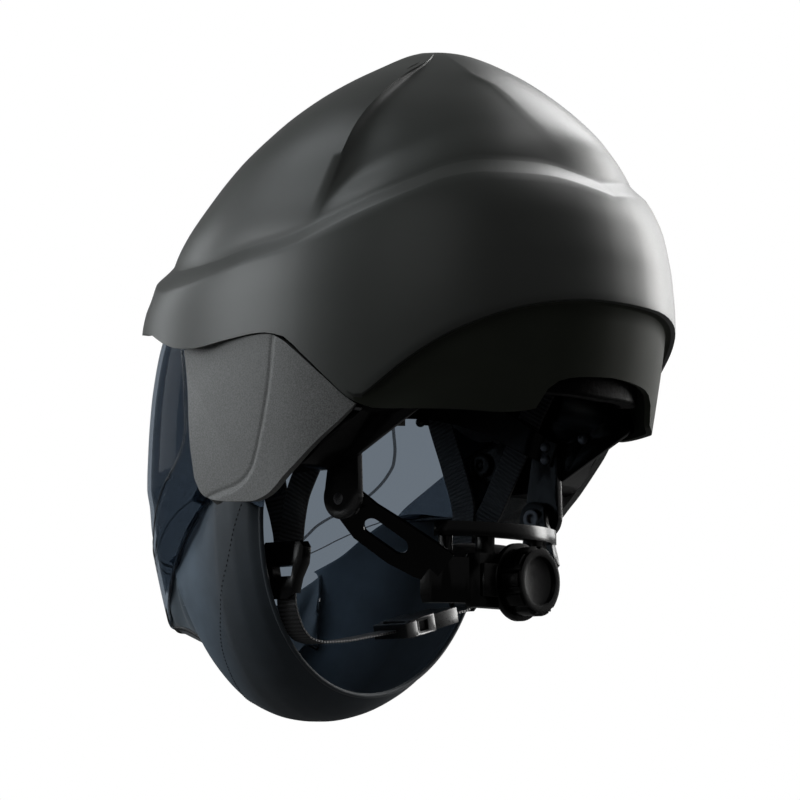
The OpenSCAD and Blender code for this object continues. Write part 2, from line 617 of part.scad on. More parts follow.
strap_x = half - 37.8;
FRONT_LEG = [[-16.5, -53, 63], [-11, -51, 50], [-2.6, -48, 35], [0, -46, 24], [0, -41, 8], [0, -32, -16], [0, -25, -38],
    [-3.6, -23, -54], [-5.2, -22.3, -64], [-5.2, -22, -72]];
REAR_LEG = [[7, 31, 37], [3, 28, 25], [0, 19, 6], [0, 9, -12], [0, -6, -38], [-3.6, -14, -54], [-5.2, -17, -64],
    [-5.2, -19, -72]];
function leg_w(list) = [for (k = [0:len(list) - 1])
    let (t = unit(list[min(k + 1, len(list) - 1)] - list[max(k - 1, 0)])) [0, t[2], -t[1]]];
module leg(list, x, width) {
    ribbon([for (p = list) p + [x, 0, 0]], leg_w(list), width, strap_wall);
}
module left_front_strap() {
    color("#222222") leg(FRONT_LEG, strap_x - 1.6, strap_width);
}
module left_rear_strap() {
    color("#222222") leg(REAR_LEG, strap_x, strap_width);
}
module right_front_strap() mirror([1, 0, 0]) left_front_strap();
module right_rear_strap() mirror([1, 0, 0]) left_rear_strap();

slide_x = strap_x - 8.7;
module left_slider() {
    color("#0f0f0f")
    difference() {
        side_slab(slide_x, slide_x + 6)
            polygon([[-34, -68], [-32, -65], [-9, -65], [-7, -68], [-8, -76], [-12, -83], [-14, -90], [-17, -93],
                [-26, -93], [-29, -90], [-30, -83], [-33, -76]]);
        translate([slide_x + 1.05, -32, -75]) cube([3.65, 23.5, 14]);
        side_slab(slide_x - 1, slide_x + 8) polygon([[-27.5, -77], [-14, -77], [-15, -82], [-26.5, -82]]);
        translate([slide_x - 1, -27.7, -94]) cube([5, 13.4, 8.5]);
    }
}
module right_slider() mirror([1, 0, 0]) left_slider();

buckle_a = [57.5 - slide_x, -21, -106];
buckle_d = unit([-46, 0, 11]);
CHIN_L = [[slide_x + 2.6, -21, -86.5], [slide_x + 2.1, -21, -95], [slide_x - 1, -21, -103], [slide_x - 5, -21, -108.5],
    [slide_x - 10.5, -21, -112], [slide_x - 18.5, -21, -113.2], [slide_x - 32.5, -21, -112.4],
    [(slide_x - 29.5 + buckle_a[0]) / 2, -21, -109.6], [buckle_a[0] + 1, -21, -105.9]];
CHIN_LW = [for (k = [0:8]) [0, 1, 0]];
module left_chin_strap() {
    color("#1d1d1d")
    ribbon(CHIN_L, CHIN_LW, 12, strap_wall);
}
CHIN_R = [buckle_a + 38.5 * buckle_d, buckle_a + 48 * buckle_d, buckle_a + 58.5 * buckle_d,
    [-slide_x - 1.8, -21, -90.4], [-slide_x - 2.8, -21, -87]];
module right_chin_strap() {
    color("#1d1d1d")
    ribbon(CHIN_R, [for (k = [0:4]) [0, 1, 0]], 12, strap_wall);
}
module buckle_socket() {
    color("#3c3e40")
    place(buckle_a, buckle_d, [0, 0, 1])
        difference() {
            union() {
                translate([0.4, -11, -3.8]) cube([9, 22, 7.6]);
                translate([5, -10, -4.6]) cube([20, 20, 9.2]);
            }
            translate([10, -8.2, -2.6]) cube([20, 16.4, 5.2]);
            translate([3.4, -7, -5]) cube([3, 14, 10]);
            translate([12, -12, -2.6]) cube([7, 24, 5.2]);
        }
}
module buckle_plug() {
    color("#232425")
    place(buckle_a, buckle_d, [0, 0, 1])
        difference() {
            union() {
                translate([25.2, -9.5, -4]) cube([19, 19, 8]);
                translate([12, -8.1, -2.5]) cube([15, 2.1, 5]);
                translate([12, 6, -2.5]) cube([15, 2.1, 5]);
            }
            translate([24, -6.5, -1.1]) cube([24, 13, 2.2]);
            translate([38, -6.5, -5]) cube([3, 13, 10]);
        }
}

outer_shell();
inner_liner();
liner_clips();
left_housing();
right_housing();
left_side_plate();
right_side_plate();
plate_screws();
left_pivot_pin();
right_pivot_pin();
visor();
bib_clamp();
bib_body();
chin_panel();
neck_binding();
headband();
band_hooks();
brow_pad();
brow_snaps();
left_hanger();
right_hanger();
hanger_rivets();
left_tilt_screw();
right_tilt_screw();
left_nape_arm();
right_nape_arm();
nape_carrier();
nape_cover();
nape_pad();
fit_knob();
pinion();
left_rack();
right_rack();
left_front_strap();
left_rear_strap();
right_front_strap();
right_rear_strap();
left_slider();
right_slider();
left_chin_strap();
right_chin_strap();
buckle_socket();
buckle_plug();
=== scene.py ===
# %% [markdown]
# # Arc flash helmet
# A hard shell protects the head of an electrician from a flash of burning metal. A tinted visor with a
# fabric bib swings down in front of the face, and a webbing harness with a ratchet knob holds it all.
# The solids of the helmet are already made, at the right size and with their joints. This lesson dresses
# them: smooth surfaces with crisp moulded lines, cloth, webbing, tinted plastic and light.

import math
from bisect import bisect_right

import bmesh
import bpy
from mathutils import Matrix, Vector


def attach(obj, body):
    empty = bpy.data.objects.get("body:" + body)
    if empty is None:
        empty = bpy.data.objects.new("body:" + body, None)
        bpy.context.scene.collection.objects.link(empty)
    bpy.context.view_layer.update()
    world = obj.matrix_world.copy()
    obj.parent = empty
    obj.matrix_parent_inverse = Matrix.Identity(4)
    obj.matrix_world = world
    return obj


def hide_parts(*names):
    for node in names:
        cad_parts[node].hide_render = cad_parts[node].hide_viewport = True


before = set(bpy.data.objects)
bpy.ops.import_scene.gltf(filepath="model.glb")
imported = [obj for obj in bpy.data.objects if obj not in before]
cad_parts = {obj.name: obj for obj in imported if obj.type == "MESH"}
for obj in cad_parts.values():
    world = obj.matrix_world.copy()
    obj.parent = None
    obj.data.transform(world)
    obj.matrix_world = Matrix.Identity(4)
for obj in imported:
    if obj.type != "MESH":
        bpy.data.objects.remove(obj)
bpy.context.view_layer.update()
MM = 0.001

# %% [markdown]
# ## The camera
# The helmet is photographed from behind its left side and a little from below, with a long lens. A long
# lens keeps the shell's round form free of distortion, so the camera stands 1.6 metres away.

# %% Camera
CAMERA_PLACE = (1.2165, 1.0142, -0.1848)
CAMERA_AIM = (0, -0.0066, 0.0102)


def in_scene(name, data):
    made = bpy.data.objects.new(name, data)
    bpy.context.scene.collection.objects.link(made)
    return made


def aimed(name, data, place, target):
    made = in_scene(name, data)
    made.location = place
    made.rotation_euler = (Vector(target) - made.location).to_track_quat("-Z", "Y").to_euler()
    return made


lens = bpy.data.cameras.new("studio_camera")
lens.lens, lens.sensor_width = 142.56, 36
camera = aimed("studio_camera", lens, CAMERA_PLACE, CAMERA_AIM)
bpy.context.scene.camera = camera
bpy.context.scene.view_settings.view_transform = "Standard"
print("camera distance in mm:", round((Vector(CAMERA_AIM) - camera.location).length / MM))

# %% [markdown]
# ## Curves through tables
# A moulded shell is drawn as a few section curves. Each curve is a short table of measured values, and
# a smooth curve runs through them. The curve may not swing past its own points, or the shell would get
# waves, so its slope at each point is the harmonic mean of the slopes on both sides.


# %% Smooth curves
def curve(rows):
    xs = [row[0] for row in rows]
    ys = [row[1] for row in rows]
    steps = [(ys[k + 1] - ys[k]) / (xs[k + 1] - xs[k]) for k in range(len(xs) - 1)]
    slopes = [steps[0]]
    for a, b in zip(steps, steps[1:]):
        slopes.append(0 if a * b <= 0 else 2 * a * b / (a + b))
    slopes.append(steps[-1])

    def read(x):
        if x <= xs[0]:
            return ys[0]
        if x >= xs[-1]:
            return ys[-1]
        k = bisect_right(xs, x) - 1
        h = xs[k + 1] - xs[k]
        t = (x - xs[k]) / h
        low = ys[k] * (1 + 2 * t) + slopes[k] * h * t
        high = ys[k + 1] * (3 - 2 * t) + slopes[k + 1] * h * (t - 1)
        return low * (1 - t) ** 2 + high * t * t

    return read


def curves(where, rows):
    return [curve(list(zip(where, column))) for column in zip(*rows)]


def rise(a, b, x):
    t = min(1, max(0, (x - a) / (b - a)))
    return t * t * (3 - 2 * t)


def sine(degrees):
    return math.sin(math.radians(degrees))


def cosine(degrees):
    return math.cos(math.radians(degrees))


def mix(a, b, t):
    return a + (b - a) * t


print("a curve through 0, 1 and 1.2 reads at 0.5:", round(curve([[0, 0], [1, 1], [2, 1.2]])(0.5), 3))

# %% [markdown]
# ## Surfaces from a grid
# Most pieces of this helmet are thin curved sheets. Each starts as a flat grid, and a rule moves every
# point of the grid to its place on the real surface. The grid keeps a UV map in millimetres, which the
# weave of cloth and webbing follows later. The Solidify modifier then gives the sheet its thickness, and
# the Bevel modifier rounds its edges.


# %% From a grid to a piece
def grid(columns, rows, rule, uv_size):
    bm = bmesh.new()
    uv = bm.loops.layers.uv.new("UVMap")
    bmesh.ops.create_grid(bm, x_segments=columns, y_segments=rows, size=0.5)
    for face in bm.faces:
        for corner in face.loops:
            place = corner.vert.co
            corner[uv].uv = ((place.x + 0.5) * uv_size[0], (place.y + 0.5) * uv_size[1])
    for vert in bm.verts:
        vert.co = Vector(rule(vert.co.x + 0.5, vert.co.y + 0.5)) * MM
    bmesh.ops.remove_doubles(bm, verts=bm.verts, dist=2e-6)
    return bm


def face_away(bm, centre):
    middle = Vector(centre) * MM
    bm.normal_update()
    total = sum((f.calc_center_median() - middle).dot(f.normal) * f.calc_area() for f in bm.faces)
    if total < 0:
        bmesh.ops.reverse_faces(bm, faces=bm.faces)


def piece(name, bm, finish, body, stands_for=(), slot=None):
    mesh = bpy.data.meshes.new(name)
    bm.to_mesh(mesh)
    bm.free()
    mesh.shade_smooth()
    made = in_scene(name, mesh)
    made.data.materials.append(finish)
    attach(made, body)
    if stands_for:
        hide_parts(*stands_for)
    print(f"{name}: {len(mesh.polygons)} faces")
    return made


def wall(made, thickness, offset=-1):
    step = made.modifiers.new("thickness", "SOLIDIFY")
    step.thickness = thickness * MM
    step.offset = offset
    step.use_even_offset = True


def round_edges(made, width, segments=2, angle=35):
    step = made.modifiers.new("round edges", "BEVEL")
    step.width = width * MM
    step.segments = segments
    step.limit_method = "ANGLE"
    step.angle_limit = math.radians(angle)
    step.harden_normals = True


print("helpers for pieces:", [rule.__name__ for rule in (grid, face_away, piece, wall, round_edges)])

# %% [markdown]
# ## Finishes
# Nearly every part is moulded plastic, and what tells them apart is how they break the light: the shell
# is satin with a fine grain, the side plates are coarse and speckled, the harness is a deep black. Each
# finish is a Principled shader whose colour, roughness and bump are driven by noise in object space, so
# the grain has its true size in millimetres everywhere. One helper fills a node's inputs, either with a
# link from another node or with a value.


# %% Shader helpers
def new_finish(name):
    finish = bpy.data.materials.new(name)
    finish.use_nodes = True
    tree = finish.node_tree
    return finish, tree, tree.nodes["Principled BSDF"]


def fill(tree, node, inputs):
    for key, value in inputs.items():
        if isinstance(value, bpy.types.NodeSocket):
            tree.links.new(value, node.inputs[key])
        else:
            node.inputs[key].default_value = value
    return node


def add(tree, kind, inputs, **settings):
    node = tree.nodes.new(kind)
    for key, value in settings.items():
        setattr(node, key, value)
    return fill(tree, node, inputs)


def noise(tree, scale, detail, roughness=0.55, stretch=None):
    place = add(tree, "ShaderNodeTexCoord", {}).outputs["Object"]
    if stretch:
        place = add(tree, "ShaderNodeMapping", {"Vector": place, "Scale": stretch}).outputs["Vector"]
    inputs = {"Vector": place, "Scale": scale, "Detail": detail, "Roughness": roughness}
    return add(tree, "ShaderNodeTexNoise", inputs).outputs["Fac"]


def ramp(tree, factor, *stops):
    node = add(tree, "ShaderNodeValToRGB", {"Fac": factor})
    for mark, (where, colour) in zip(node.color_ramp.elements, stops):
        mark.position = where
        mark.color = (*colour, 1) if isinstance(colour, tuple) else (colour, colour, colour, 1)
    return node.outputs["Color"]


def multiplied(tree, colour, factor):
    inputs = {"Factor": 1, 6: colour, 7: factor}
    return add(tree, "ShaderNodeMix", inputs, data_type="RGBA", blend_type="MULTIPLY").outputs[2]


def bump(tree, shader, height, strength, distance):
    inputs = {"Height": height, "Strength": strength, "Distance": distance * MM}
    fill(tree, shader, {"Normal": add(tree, "ShaderNodeBump", inputs).outputs["Normal"]})


def scaled(colour, factor):
    return tuple(min(1, c * factor) for c in colour)


print("half of a colour:", scaled((0.4, 0.2, 0.1), 0.5))

# %% [markdown]
# ### Distance to a drawn line
# Two details follow a free line on a surface: the border of the pad on the side plate, and the border of
# the lens in the visor. The helper returns how far a point of the surface lies from such a line, with a
# sign that tells the side.


# %% Distance to a line
def border_distance(line, a, b):
    best, side = 1e9, 1
    for (a0, b0), (a1, b1) in zip(line, line[1:]):
        da, db = a1 - a0, b1 - b0
        k = min(1, max(0, ((a - a0) * da + (b - b0) * db) / (da * da + db * db)))
        gap = math.hypot(a - a0 - k * da, b - b0 - k * db)
        if gap < best:
            best, side = gap, -1 if db * (a - a0) - da * (b - b0) < 0 else 1
    return best * side


print("one millimetre to the right of an upright line:", border_distance([(0, 1), (0, -1)], 1, 0))

# %% [markdown]
# ### Moulded plastic
# One helper makes every moulded plastic. A coarse noise shifts the colour by a few parts in a hundred,
# as pigment does. A fine noise raises the grain that the mould leaves, and changes the roughness with
# it, because the tops of the grain get polished by handling. The mirror value is the strength of the
# reflection: black parts get little of it, or they would turn grey under soft boxes.


# %% Moulded plastic
def plastic(name, colour, rough, grain, height, coat=0.0, speckle=0.0, mirror=0.5):
    finish, tree, shader = new_finish(name)
    shade = ramp(tree, noise(tree, 30, 2), (0.3, scaled(colour, 0.92)), (0.7, scaled(colour, 1.08)))
    fine = noise(tree, grain, 4, 0.6)
    if speckle:
        shade = multiplied(tree, shade, ramp(tree, fine, (0.38, 1 - speckle), (0.62, 1 + speckle)))
    gloss = ramp(tree, fine, (0.3, rough - 0.05), (0.7, rough + 0.07))
    fill(tree, shader, {"Base Color": shade, "Roughness": gloss, "Specular IOR Level": mirror,
                        "Coat Weight": coat, "Coat Roughness": 0.18})
    bump(tree, shader, fine, 0.35, height)
    return finish


shell_plastic = plastic("graphite shell plastic", (0.040, 0.044, 0.040), 0.38, 2600, 0.04)
# painted shade: a copy of the shell plastic with almost no reflection, for the faces under the arch
nape_shade_plastic = plastic("nape plastic with painted shade", (0.049, 0.053, 0.043), 0.5, 2600, 0.04, mirror=0.03)
plate_plastic = plastic("speckled plate plastic", (0.175, 0.177, 0.175), 0.55, 1500, 0.12, speckle=0.35)
black_plastic = plastic("satin black plastic", (0.002, 0.002, 0.0022), 0.2, 1800, 0.04, mirror=0.22)
gloss_plastic = plastic("polished black plastic", (0.006, 0.006, 0.0065), 0.2, 900, 0.02, coat=0.25,
                        mirror=0.3)
buckle_plastic = plastic("buckle plastic", (0.018, 0.019, 0.02), 0.3, 1600, 0.03, coat=0.2)
gear_plastic = plastic("pale gear plastic", (0.56, 0.55, 0.5), 0.32, 1200, 0.02)
liner_foam = plastic("black liner foam", (0.005, 0.005, 0.005), 0.55, 260, 0.9, mirror=0.03)
clamp_plastic = plastic("blue clamp strip", (0.06, 0.08, 0.105), 0.35, 1500, 0.03)
print("plastics:", len(bpy.data.materials))

# %% [markdown]
# ### Dark metal
# The screws are blackened steel. Fine stretched noise stands for the turning marks, and the metallic
# value makes the highlights take the steel's own colour.

# %% Dark metal
dark_metal, tree, shader = new_finish("blackened steel")
marks = noise(tree, 900, 2, 0.5, stretch=(1, 8, 8))
steel = ramp(tree, marks, (0.3, (0.10, 0.10, 0.105)), (0.7, (0.19, 0.19, 0.2)))
gloss = ramp(tree, marks, (0.3, 0.22), (0.7, 0.36))
fill(tree, shader, {"Base Color": steel, "Roughness": gloss, "Metallic": 1})
bump(tree, shader, marks, 0.2, 0.02)
print("metal:", dark_metal.name)

# %% [markdown]
# ### Tinted visor
# The visor is dyed polycarbonate. Light that passes through one wall keeps about a sixth of its
# strength and turns slightly blue. The shader transmits with nearly no bending, because the wall is thin
# and even, and a clear coat gives the polished outer face. For shadow rays a plain tinted transparent
# shader is used, so that the face behind is lit through the tint and not left black.

# %% Tinted visor
visor_tint, tree, shader = new_finish("tinted visor")
haze = ramp(tree, noise(tree, 14, 3), (0.35, 0.02), (0.75, 0.05))
fill(tree, shader, {"Base Color": (0.132, 0.158, 0.188, 1), "Transmission Weight": 1, "IOR": 1.02,
                    "Coat Weight": 0.06, "Coat Roughness": 0.04, "Roughness": haze})
through = add(tree, "ShaderNodeBsdfTransparent", {"Color": (0.38, 0.414, 0.449, 1)})
shadow = add(tree, "ShaderNodeLightPath", {}).outputs["Is Shadow Ray"]
choose = add(tree, "ShaderNodeMixShader",
             {"Fac": shadow, 1: shader.outputs["BSDF"], 2: through.outputs["BSDF"]})
fill(tree, tree.nodes["Material Output"], {"Surface": choose.outputs["Shader"]})
print("tint:", visor_tint.name)

# %% [markdown]
# ### Edge of the visor
# Seen along its wall, dyed plastic looks much darker than seen through it. That dark line appears at the
# rim and at the step of the lens. Real refraction would need many light bounces to show it, so thin
# strips carry a navy plastic that is nearly half transparent.

# %% Edge of the visor
visor_edge, tree, shader = new_finish("visor edge")
navy = ramp(tree, noise(tree, 40, 2), (0.3, (0.006, 0.012, 0.022)), (0.7, (0.010, 0.019, 0.032)))
fill(tree, shader, {"Base Color": navy, "Roughness": 0.18})
clear = add(tree, "ShaderNodeBsdfTransparent", {})
thin = add(tree, "ShaderNodeMixShader",
           {"Fac": 0.45, 1: shader.outputs["BSDF"], 2: clear.outputs["BSDF"]})
fill(tree, tree.nodes["Material Output"], {"Surface": thin.outputs["Shader"]})
print("edge:", visor_edge.name)

# %% [markdown]
# ### Cloth and webbing
# The bib is a tightly woven laminate, so its weave is finer than a millimetre and its colour a slate
# blue. Its colour is painted darker at the neck edge and paler towards the visor: painted light, for the
# light that falls on the front of the bib. Webbing shows ribs across its width, and the colour is painted
# darker in their valleys: painted shade. Both patterns are waves on the UV map, which is in millimetres
# along and across the piece, so the weave bends with the cloth.


# %% Woven cloth
def thread_wave(tree, place, direction, pitch):
    turn = add(tree, "ShaderNodeMapping", {"Vector": place, "Scale": (1 / pitch, 1 / pitch, 1)})
    inputs = {"Vector": turn.outputs["Vector"], "Scale": math.pi / 10, "Distortion": 0.4, "Detail": 1}
    return add(tree, "ShaderNodeTexWave", inputs, wave_type="BANDS", bands_direction=direction,
               wave_profile="SIN").outputs["Fac"]


def painted_light_across(tree, place, painted_light):
    inputs = dict(zip(("From Min", "From Max", "To Min", "To Max"), painted_light))
    inputs["Value"] = add(tree, "ShaderNodeSeparateXYZ", {0: place}).outputs["Y"]
    return add(tree, "ShaderNodeMapRange", inputs).outputs["Result"]


def woven(name, colour, rough, along, across, height, sheen=0.3, ribs=0.0, painted_light=None):
    finish, tree, shader = new_finish(name)
    place = add(tree, "ShaderNodeTexCoord", {}).outputs["UV"]
    waves = [thread_wave(tree, place, "X", along), thread_wave(tree, place, "Y", across)]
    threads = add(tree, "ShaderNodeMath", dict(enumerate(waves)), operation="MULTIPLY").outputs["Value"]
    shade = ramp(tree, noise(tree, 60, 3), (0.3, scaled(colour, 0.88)), (0.7, scaled(colour, 1.12)))
    # painted shade: the colour is darkened in the valleys of the ribs, where the bump is low
    if ribs:
        shade = multiplied(tree, shade, ramp(tree, waves[0], (0.15, 1 - ribs), (0.75, 1)))
    # painted light: the colour is multiplied darker at the neck edge and paler towards the visor
    if painted_light:
        shade = multiplied(tree, shade, painted_light_across(tree, place, painted_light))
    gloss = ramp(tree, threads, (0.0, rough + 0.1), (1.0, rough - 0.05))
    fill(tree, shader, {"Base Color": shade, "Roughness": gloss, "Sheen Weight": sheen,
                        "Sheen Roughness": 0.4})
    bump(tree, shader, threads, 0.5, height)
    return finish


# painted light: the last values make the bib darker at the neck and about three times paler at the visor
bib_fabric = woven("slate bib laminate", (0.046, 0.062, 0.080), 0.6, 0.7, 0.7, 0.05, sheen=0.05,
                   painted_light=(36, 68, 0.7, 2.9))
# painted light: the bib's slate blue made about three times paler, for the front light that falls on the
# chin panel
lit_bib_fabric = woven("chin panel laminate with painted light", (0.16, 0.2, 0.24), 0.22, 0.8, 0.8, 0.03, sheen=0.1)
binding_tape = woven("binding tape", (0.030, 0.041, 0.053), 0.55, 1.1, 0.8, 0.08)
# painted shade: ribs=0.9 darkens the rib valleys to a tenth of the colour
webbing = woven("ribbed webbing", (0.034, 0.034, 0.036), 0.4, 2.1, 0.9, 0.5, sheen=0.1, ribs=0.9)
pad_fabric = woven("pale brow cloth", (0.47, 0.43, 0.36), 0.75, 0.9, 0.9, 0.12)
nape_foam = woven("nape foam cloth", (0.02, 0.021, 0.023), 0.7, 1.0, 1.0, 0.1)
stitch_thread = plastic("dark thread", (0.008, 0.009, 0.012), 0.6, 900, 0.02)
print("finishes:", len(bpy.data.materials))

# %% [markdown]
# ## The shell
# The shell is one moulding, and its form is the character of this helmet: a pointed crown, a crease that
# runs from the peak to the front on each side, a hollow behind it, a raised spine at the rear, a belt
# line all round, and an arch over the nape. It could be sculpted, but a rule is cleaner. The tables give
# the profiles at the front, side and rear by height, and the heights of the rim, the arch and the belt
# by the direction round the head, where 0 degrees is the front and 180 the rear.

# %% Shell tables
HALF = 113
FRONT = curve([
    [-15, 148], [0, 148], [45, 146.5], [55, 143.8], [62, 140], [75, 135.2], [85, 131.5], [105, 119.5],
    [125, 103.5], [143, 82], [157, 61.5], [167, 42], [176, 23.5], [183, 9], [186, 3]])
SIDE = curve([
    [-15, 1], [30, 0], [50, 0.5], [65, 2], [75, 4], [85, 6], [105, 13], [125, 22], [143, 36], [157, 53],
    [167, 68.5], [176, 86], [183, 101], [186, 110]])
REAR = curve([
    [-15, 132], [0, 134], [45, 138], [65, 136.5], [85, 131], [98, 124], [108, 116.5], [125, 107],
    [145, 87], [162, 65], [174, 44], [181, 27.5], [184, 16], [186, 3]])
RIM = curve([
    [0, 54], [15, 52.5], [24, 48.5], [30, 46], [45, 41], [52, 35], [60, 30], [68, 28.5], [78, 30],
    [90, 31.5], [97, 29], [104, 18], [110, 7], [117, -5], [122, -8], [140, -9], [150, -10], [158, -8],
    [161, 2], [165, 7], [172, 9], [180, 10]])
ARCH = curve([
    [0, -50], [112, -50], [113.5, -9], [116, -5.2], [120, -0.5], [124, 5.75], [128, 12.2], [132, 18],
    [138, 25.7], [144, 31.6], [151, 37.3], [160, 41.7], [170, 44], [180, 44.3]])
BELT = curve([
    [0, 78], [26, 75.5], [36, 69], [44, 63], [52, 60.5], [60, 60.5], [69, 62], [82, 67], [96, 71],
    [106, 77], [115, 84], [129, 95], [137, 101], [146, 104], [160, 104], [174, 100], [180, 98]])
CREASE = curve([
    [60, 99], [77, 101], [88, 103], [103, 104], [121, 105], [136, 106], [154, 111], [166, 118],
    [174, 129], [186, 150]])
SPINE = curve([
    [100, 172], [112, 170], [128, 166], [139, 163], [156, 159], [166, 152], [176, 152], [186, 160]])
print("belt line in mm at front, side and rear:", [round(BELT(phi)) for phi in (0, 90, 180)])

# %% [markdown]
# ### The shell's rule
# At any height the shell is an oval, and the tables say how wide. Above the belt line it steps in like a
# ledge, under the arch it steps in again and leans inward, and behind the crease it sinks into the
# hollow. The grid's rows gather at the rim, the arch and the belt, and its columns follow the crease and
# the spine, so that these lines stay crisp without a denser grid.

# %% Shell rule
COLUMNS, ROWS = 144, 80
HALF_COLUMNS = COLUMNS // 2
CREASE_COLUMN, SPINE_COLUMN = 33, 67
FOOT_ROW, ARCH_ROW, BELT_ROW, LEDGE_ROW = 5, 11, 26, 38
CREASE_FOOT, PEAK = 77, 186.2


def oval(front, side, power, c, s):
    return (abs(c / front) ** power + abs(s / side) ** power) ** (-1 / power)


def belt_top(phi):
    return BELT(phi) + 8 + 4 * rise(100, 40, phi) - 5 * rise(46, 26, phi)


def shell_middle(z):
    return 10 * rise(55, 150, z)


def shell_radius(phi, z):
    c, s = cosine(phi), sine(phi)
    reach = FRONT(z) if c > 0 else REAR(z)
    r = oval(reach, max(3, HALF - SIDE(z)), 2.2 - 0.2 * rise(90, 150, z), c, s)
    low, high = BELT(phi), belt_top(phi)
    step = 7 - 3 * rise(10, 70, phi) * rise(160, 110, phi) - 3 * rise(125, 155, phi)
    ledge = min(1, max(0, (z - low) / (high - low)))
    r -= step * mix(ledge, rise(0, 1, ledge), 0.15) * (1 - min(1, max(0, (z - 100) / 86)) ** 2)
    r -= 5 * rise(114, 124, phi) * (1 - rise(ARCH(phi) - 1.1, ARCH(phi) + 0.6, z))
    r -= 0.07 * max(0, ARCH(phi) - z) * rise(116, 135, phi)
    k = (phi - CREASE(z)) / (SPINE(z) - CREASE(z))
    if 0 < k < 1 and z > high:
        hollow = 7 * rise(high, high + 22, z) * rise(187, 166, z) * min(1, r / 55)
        r -= hollow * (1 - math.exp(-k / 0.06)) * (1 - k) ** 0.7
    return r


def shell_height(row, phi):
    rim, belt, top = RIM(phi), BELT(phi), belt_top(phi)
    arch = max(ARCH(phi), rim + 3)
    if row <= FOOT_ROW:
        return mix(rim, arch - 1.2, row / FOOT_ROW)
    if row <= ARCH_ROW:
        return mix(arch - 1.2, arch + 0.8, (row - FOOT_ROW) / (ARCH_ROW - FOOT_ROW))
    if row <= BELT_ROW:
        return mix(arch + 0.8, belt, (row - ARCH_ROW) / (BELT_ROW - ARCH_ROW))
    if row <= LEDGE_ROW:
        return mix(belt, top, (row - BELT_ROW) / (LEDGE_ROW - BELT_ROW))
    return top + (PEAK - 0.4 - top) * sine(90 * (row - LEDGE_ROW) / (ROWS - LEDGE_ROW))


def shell_azimuth(column, z):
    crease, spine = CREASE(z), SPINE(z) + 2
    if column <= CREASE_COLUMN:
        return crease * column / CREASE_COLUMN
    if column <= SPINE_COLUMN:
        k = (column - CREASE_COLUMN) / (SPINE_COLUMN - CREASE_COLUMN)
        return crease + (spine - crease) * k ** 1.25
    return spine + (180 - spine) * (column - SPINE_COLUMN) / (HALF_COLUMNS - SPINE_COLUMN)


def on_shell(u, v):
    column, row = round(u * COLUMNS), round(v * ROWS)
    side = 1 if column <= HALF_COLUMNS else -1
    column = min(column, COLUMNS - column)
    z = shell_height(row, shell_azimuth(column, CREASE_FOOT))
    phi = shell_azimuth(column, z if row > LEDGE_ROW else CREASE_FOOT)
    middle = shell_middle(z)
    if row == ROWS:
        return 0, middle, PEAK
    r = shell_radius(phi, z)
    return side * r * sine(phi), middle - r * cosine(phi), z


print("shell radius at the side, at the belt in mm:", round(shell_radius(90, BELT(90)), 1))

# %% [markdown]
# ### One moulding, two surfaces
# The rule fills a grid, and the rim gets its wall of three millimetres with a rounded edge. Under the
# arch the faces get a copy of the shell plastic with almost no reflection, which paints the shade there.

# %% Make the shell
bm = grid(COLUMNS, ROWS, on_shell, (700, 260))
face_away(bm, (0, 0, 60))
shell = piece("moulded_shell", bm, shell_plastic, "helmet", ["outer_shell"], "shell_plastic")
# painted shade: the faces under the arch get the copy of the shell plastic with almost no reflection
shell.data.materials.append(nape_shade_plastic)
ARCH_FOOT, below = 113.5, 0
for face in shell.data.polygons:
    x, y, z = face.center / MM
    phi = math.degrees(math.atan2(abs(x), shell_middle(z) - y))
    if phi > ARCH_FOOT and z < ARCH(phi) - 0.2:
        face.material_index = 1
        below += 1
print("faces under the arch:", below)
wall(shell, 3)
round_edges(shell, 0.7, 3, 50)

# %% [markdown]
# ## The liner
# Under the shell sits a foam cap that takes up a blow. It is a plain dome nine millimetres thick with a
# rounded rim, so a rule is again the shortest way. A slow wave in it presses shallow ribs into the foam.

# %% Liner
LINER_RIM = curve([
    [0, 74], [40, 66], [60, 46], [72, 34], [90, 32], [120, 30], [140, 12], [152, 2], [180, 0]])
LINER_WAIST, LINER_TOP = 12, 112


def on_liner(u, v):
    phi = 360 * u
    side = 1 if phi <= 180 else -1
    phi = min(phi, 360 - phi)
    z0 = LINER_RIM(phi)
    z = z0 + (LINER_TOP - z0) * sine(90 * v)
    k = math.sqrt(max(0, 1 - (max(0, z - LINER_WAIST) / (LINER_TOP - LINER_WAIST)) ** 2))
    r = oval(108 if cosine(phi) > 0 else 119, 88, 2.1, cosine(phi), sine(phi)) * k
    r -= 0.5 * (1 - abs(sine(6 * phi))) * rise(1, 0.8, v)
    return side * r * sine(phi), 4 - r * cosine(phi), z


bm = grid(120, 40, on_liner, (600, 200))
face_away(bm, (0, 4, 30))
liner = piece("foam_liner", bm, liner_foam, "helmet", ["inner_liner"], "liner_foam")
wall(liner, 9)
round_edges(liner, 2.2, 3, 50)

# %% [markdown]
# ## The visor
# The visor is one blown sheet of polycarbonate. Its upper corners run back as arms to the pivots at the
# ears, and a pressed border sets its lens area a millimetre deeper. A fine grid takes the sheet's form
# from two profile tables, its outline from a lower and an upper line, and the border is a smooth change
# of depth. Directions are in degrees round the face here, with 0 at the nose.

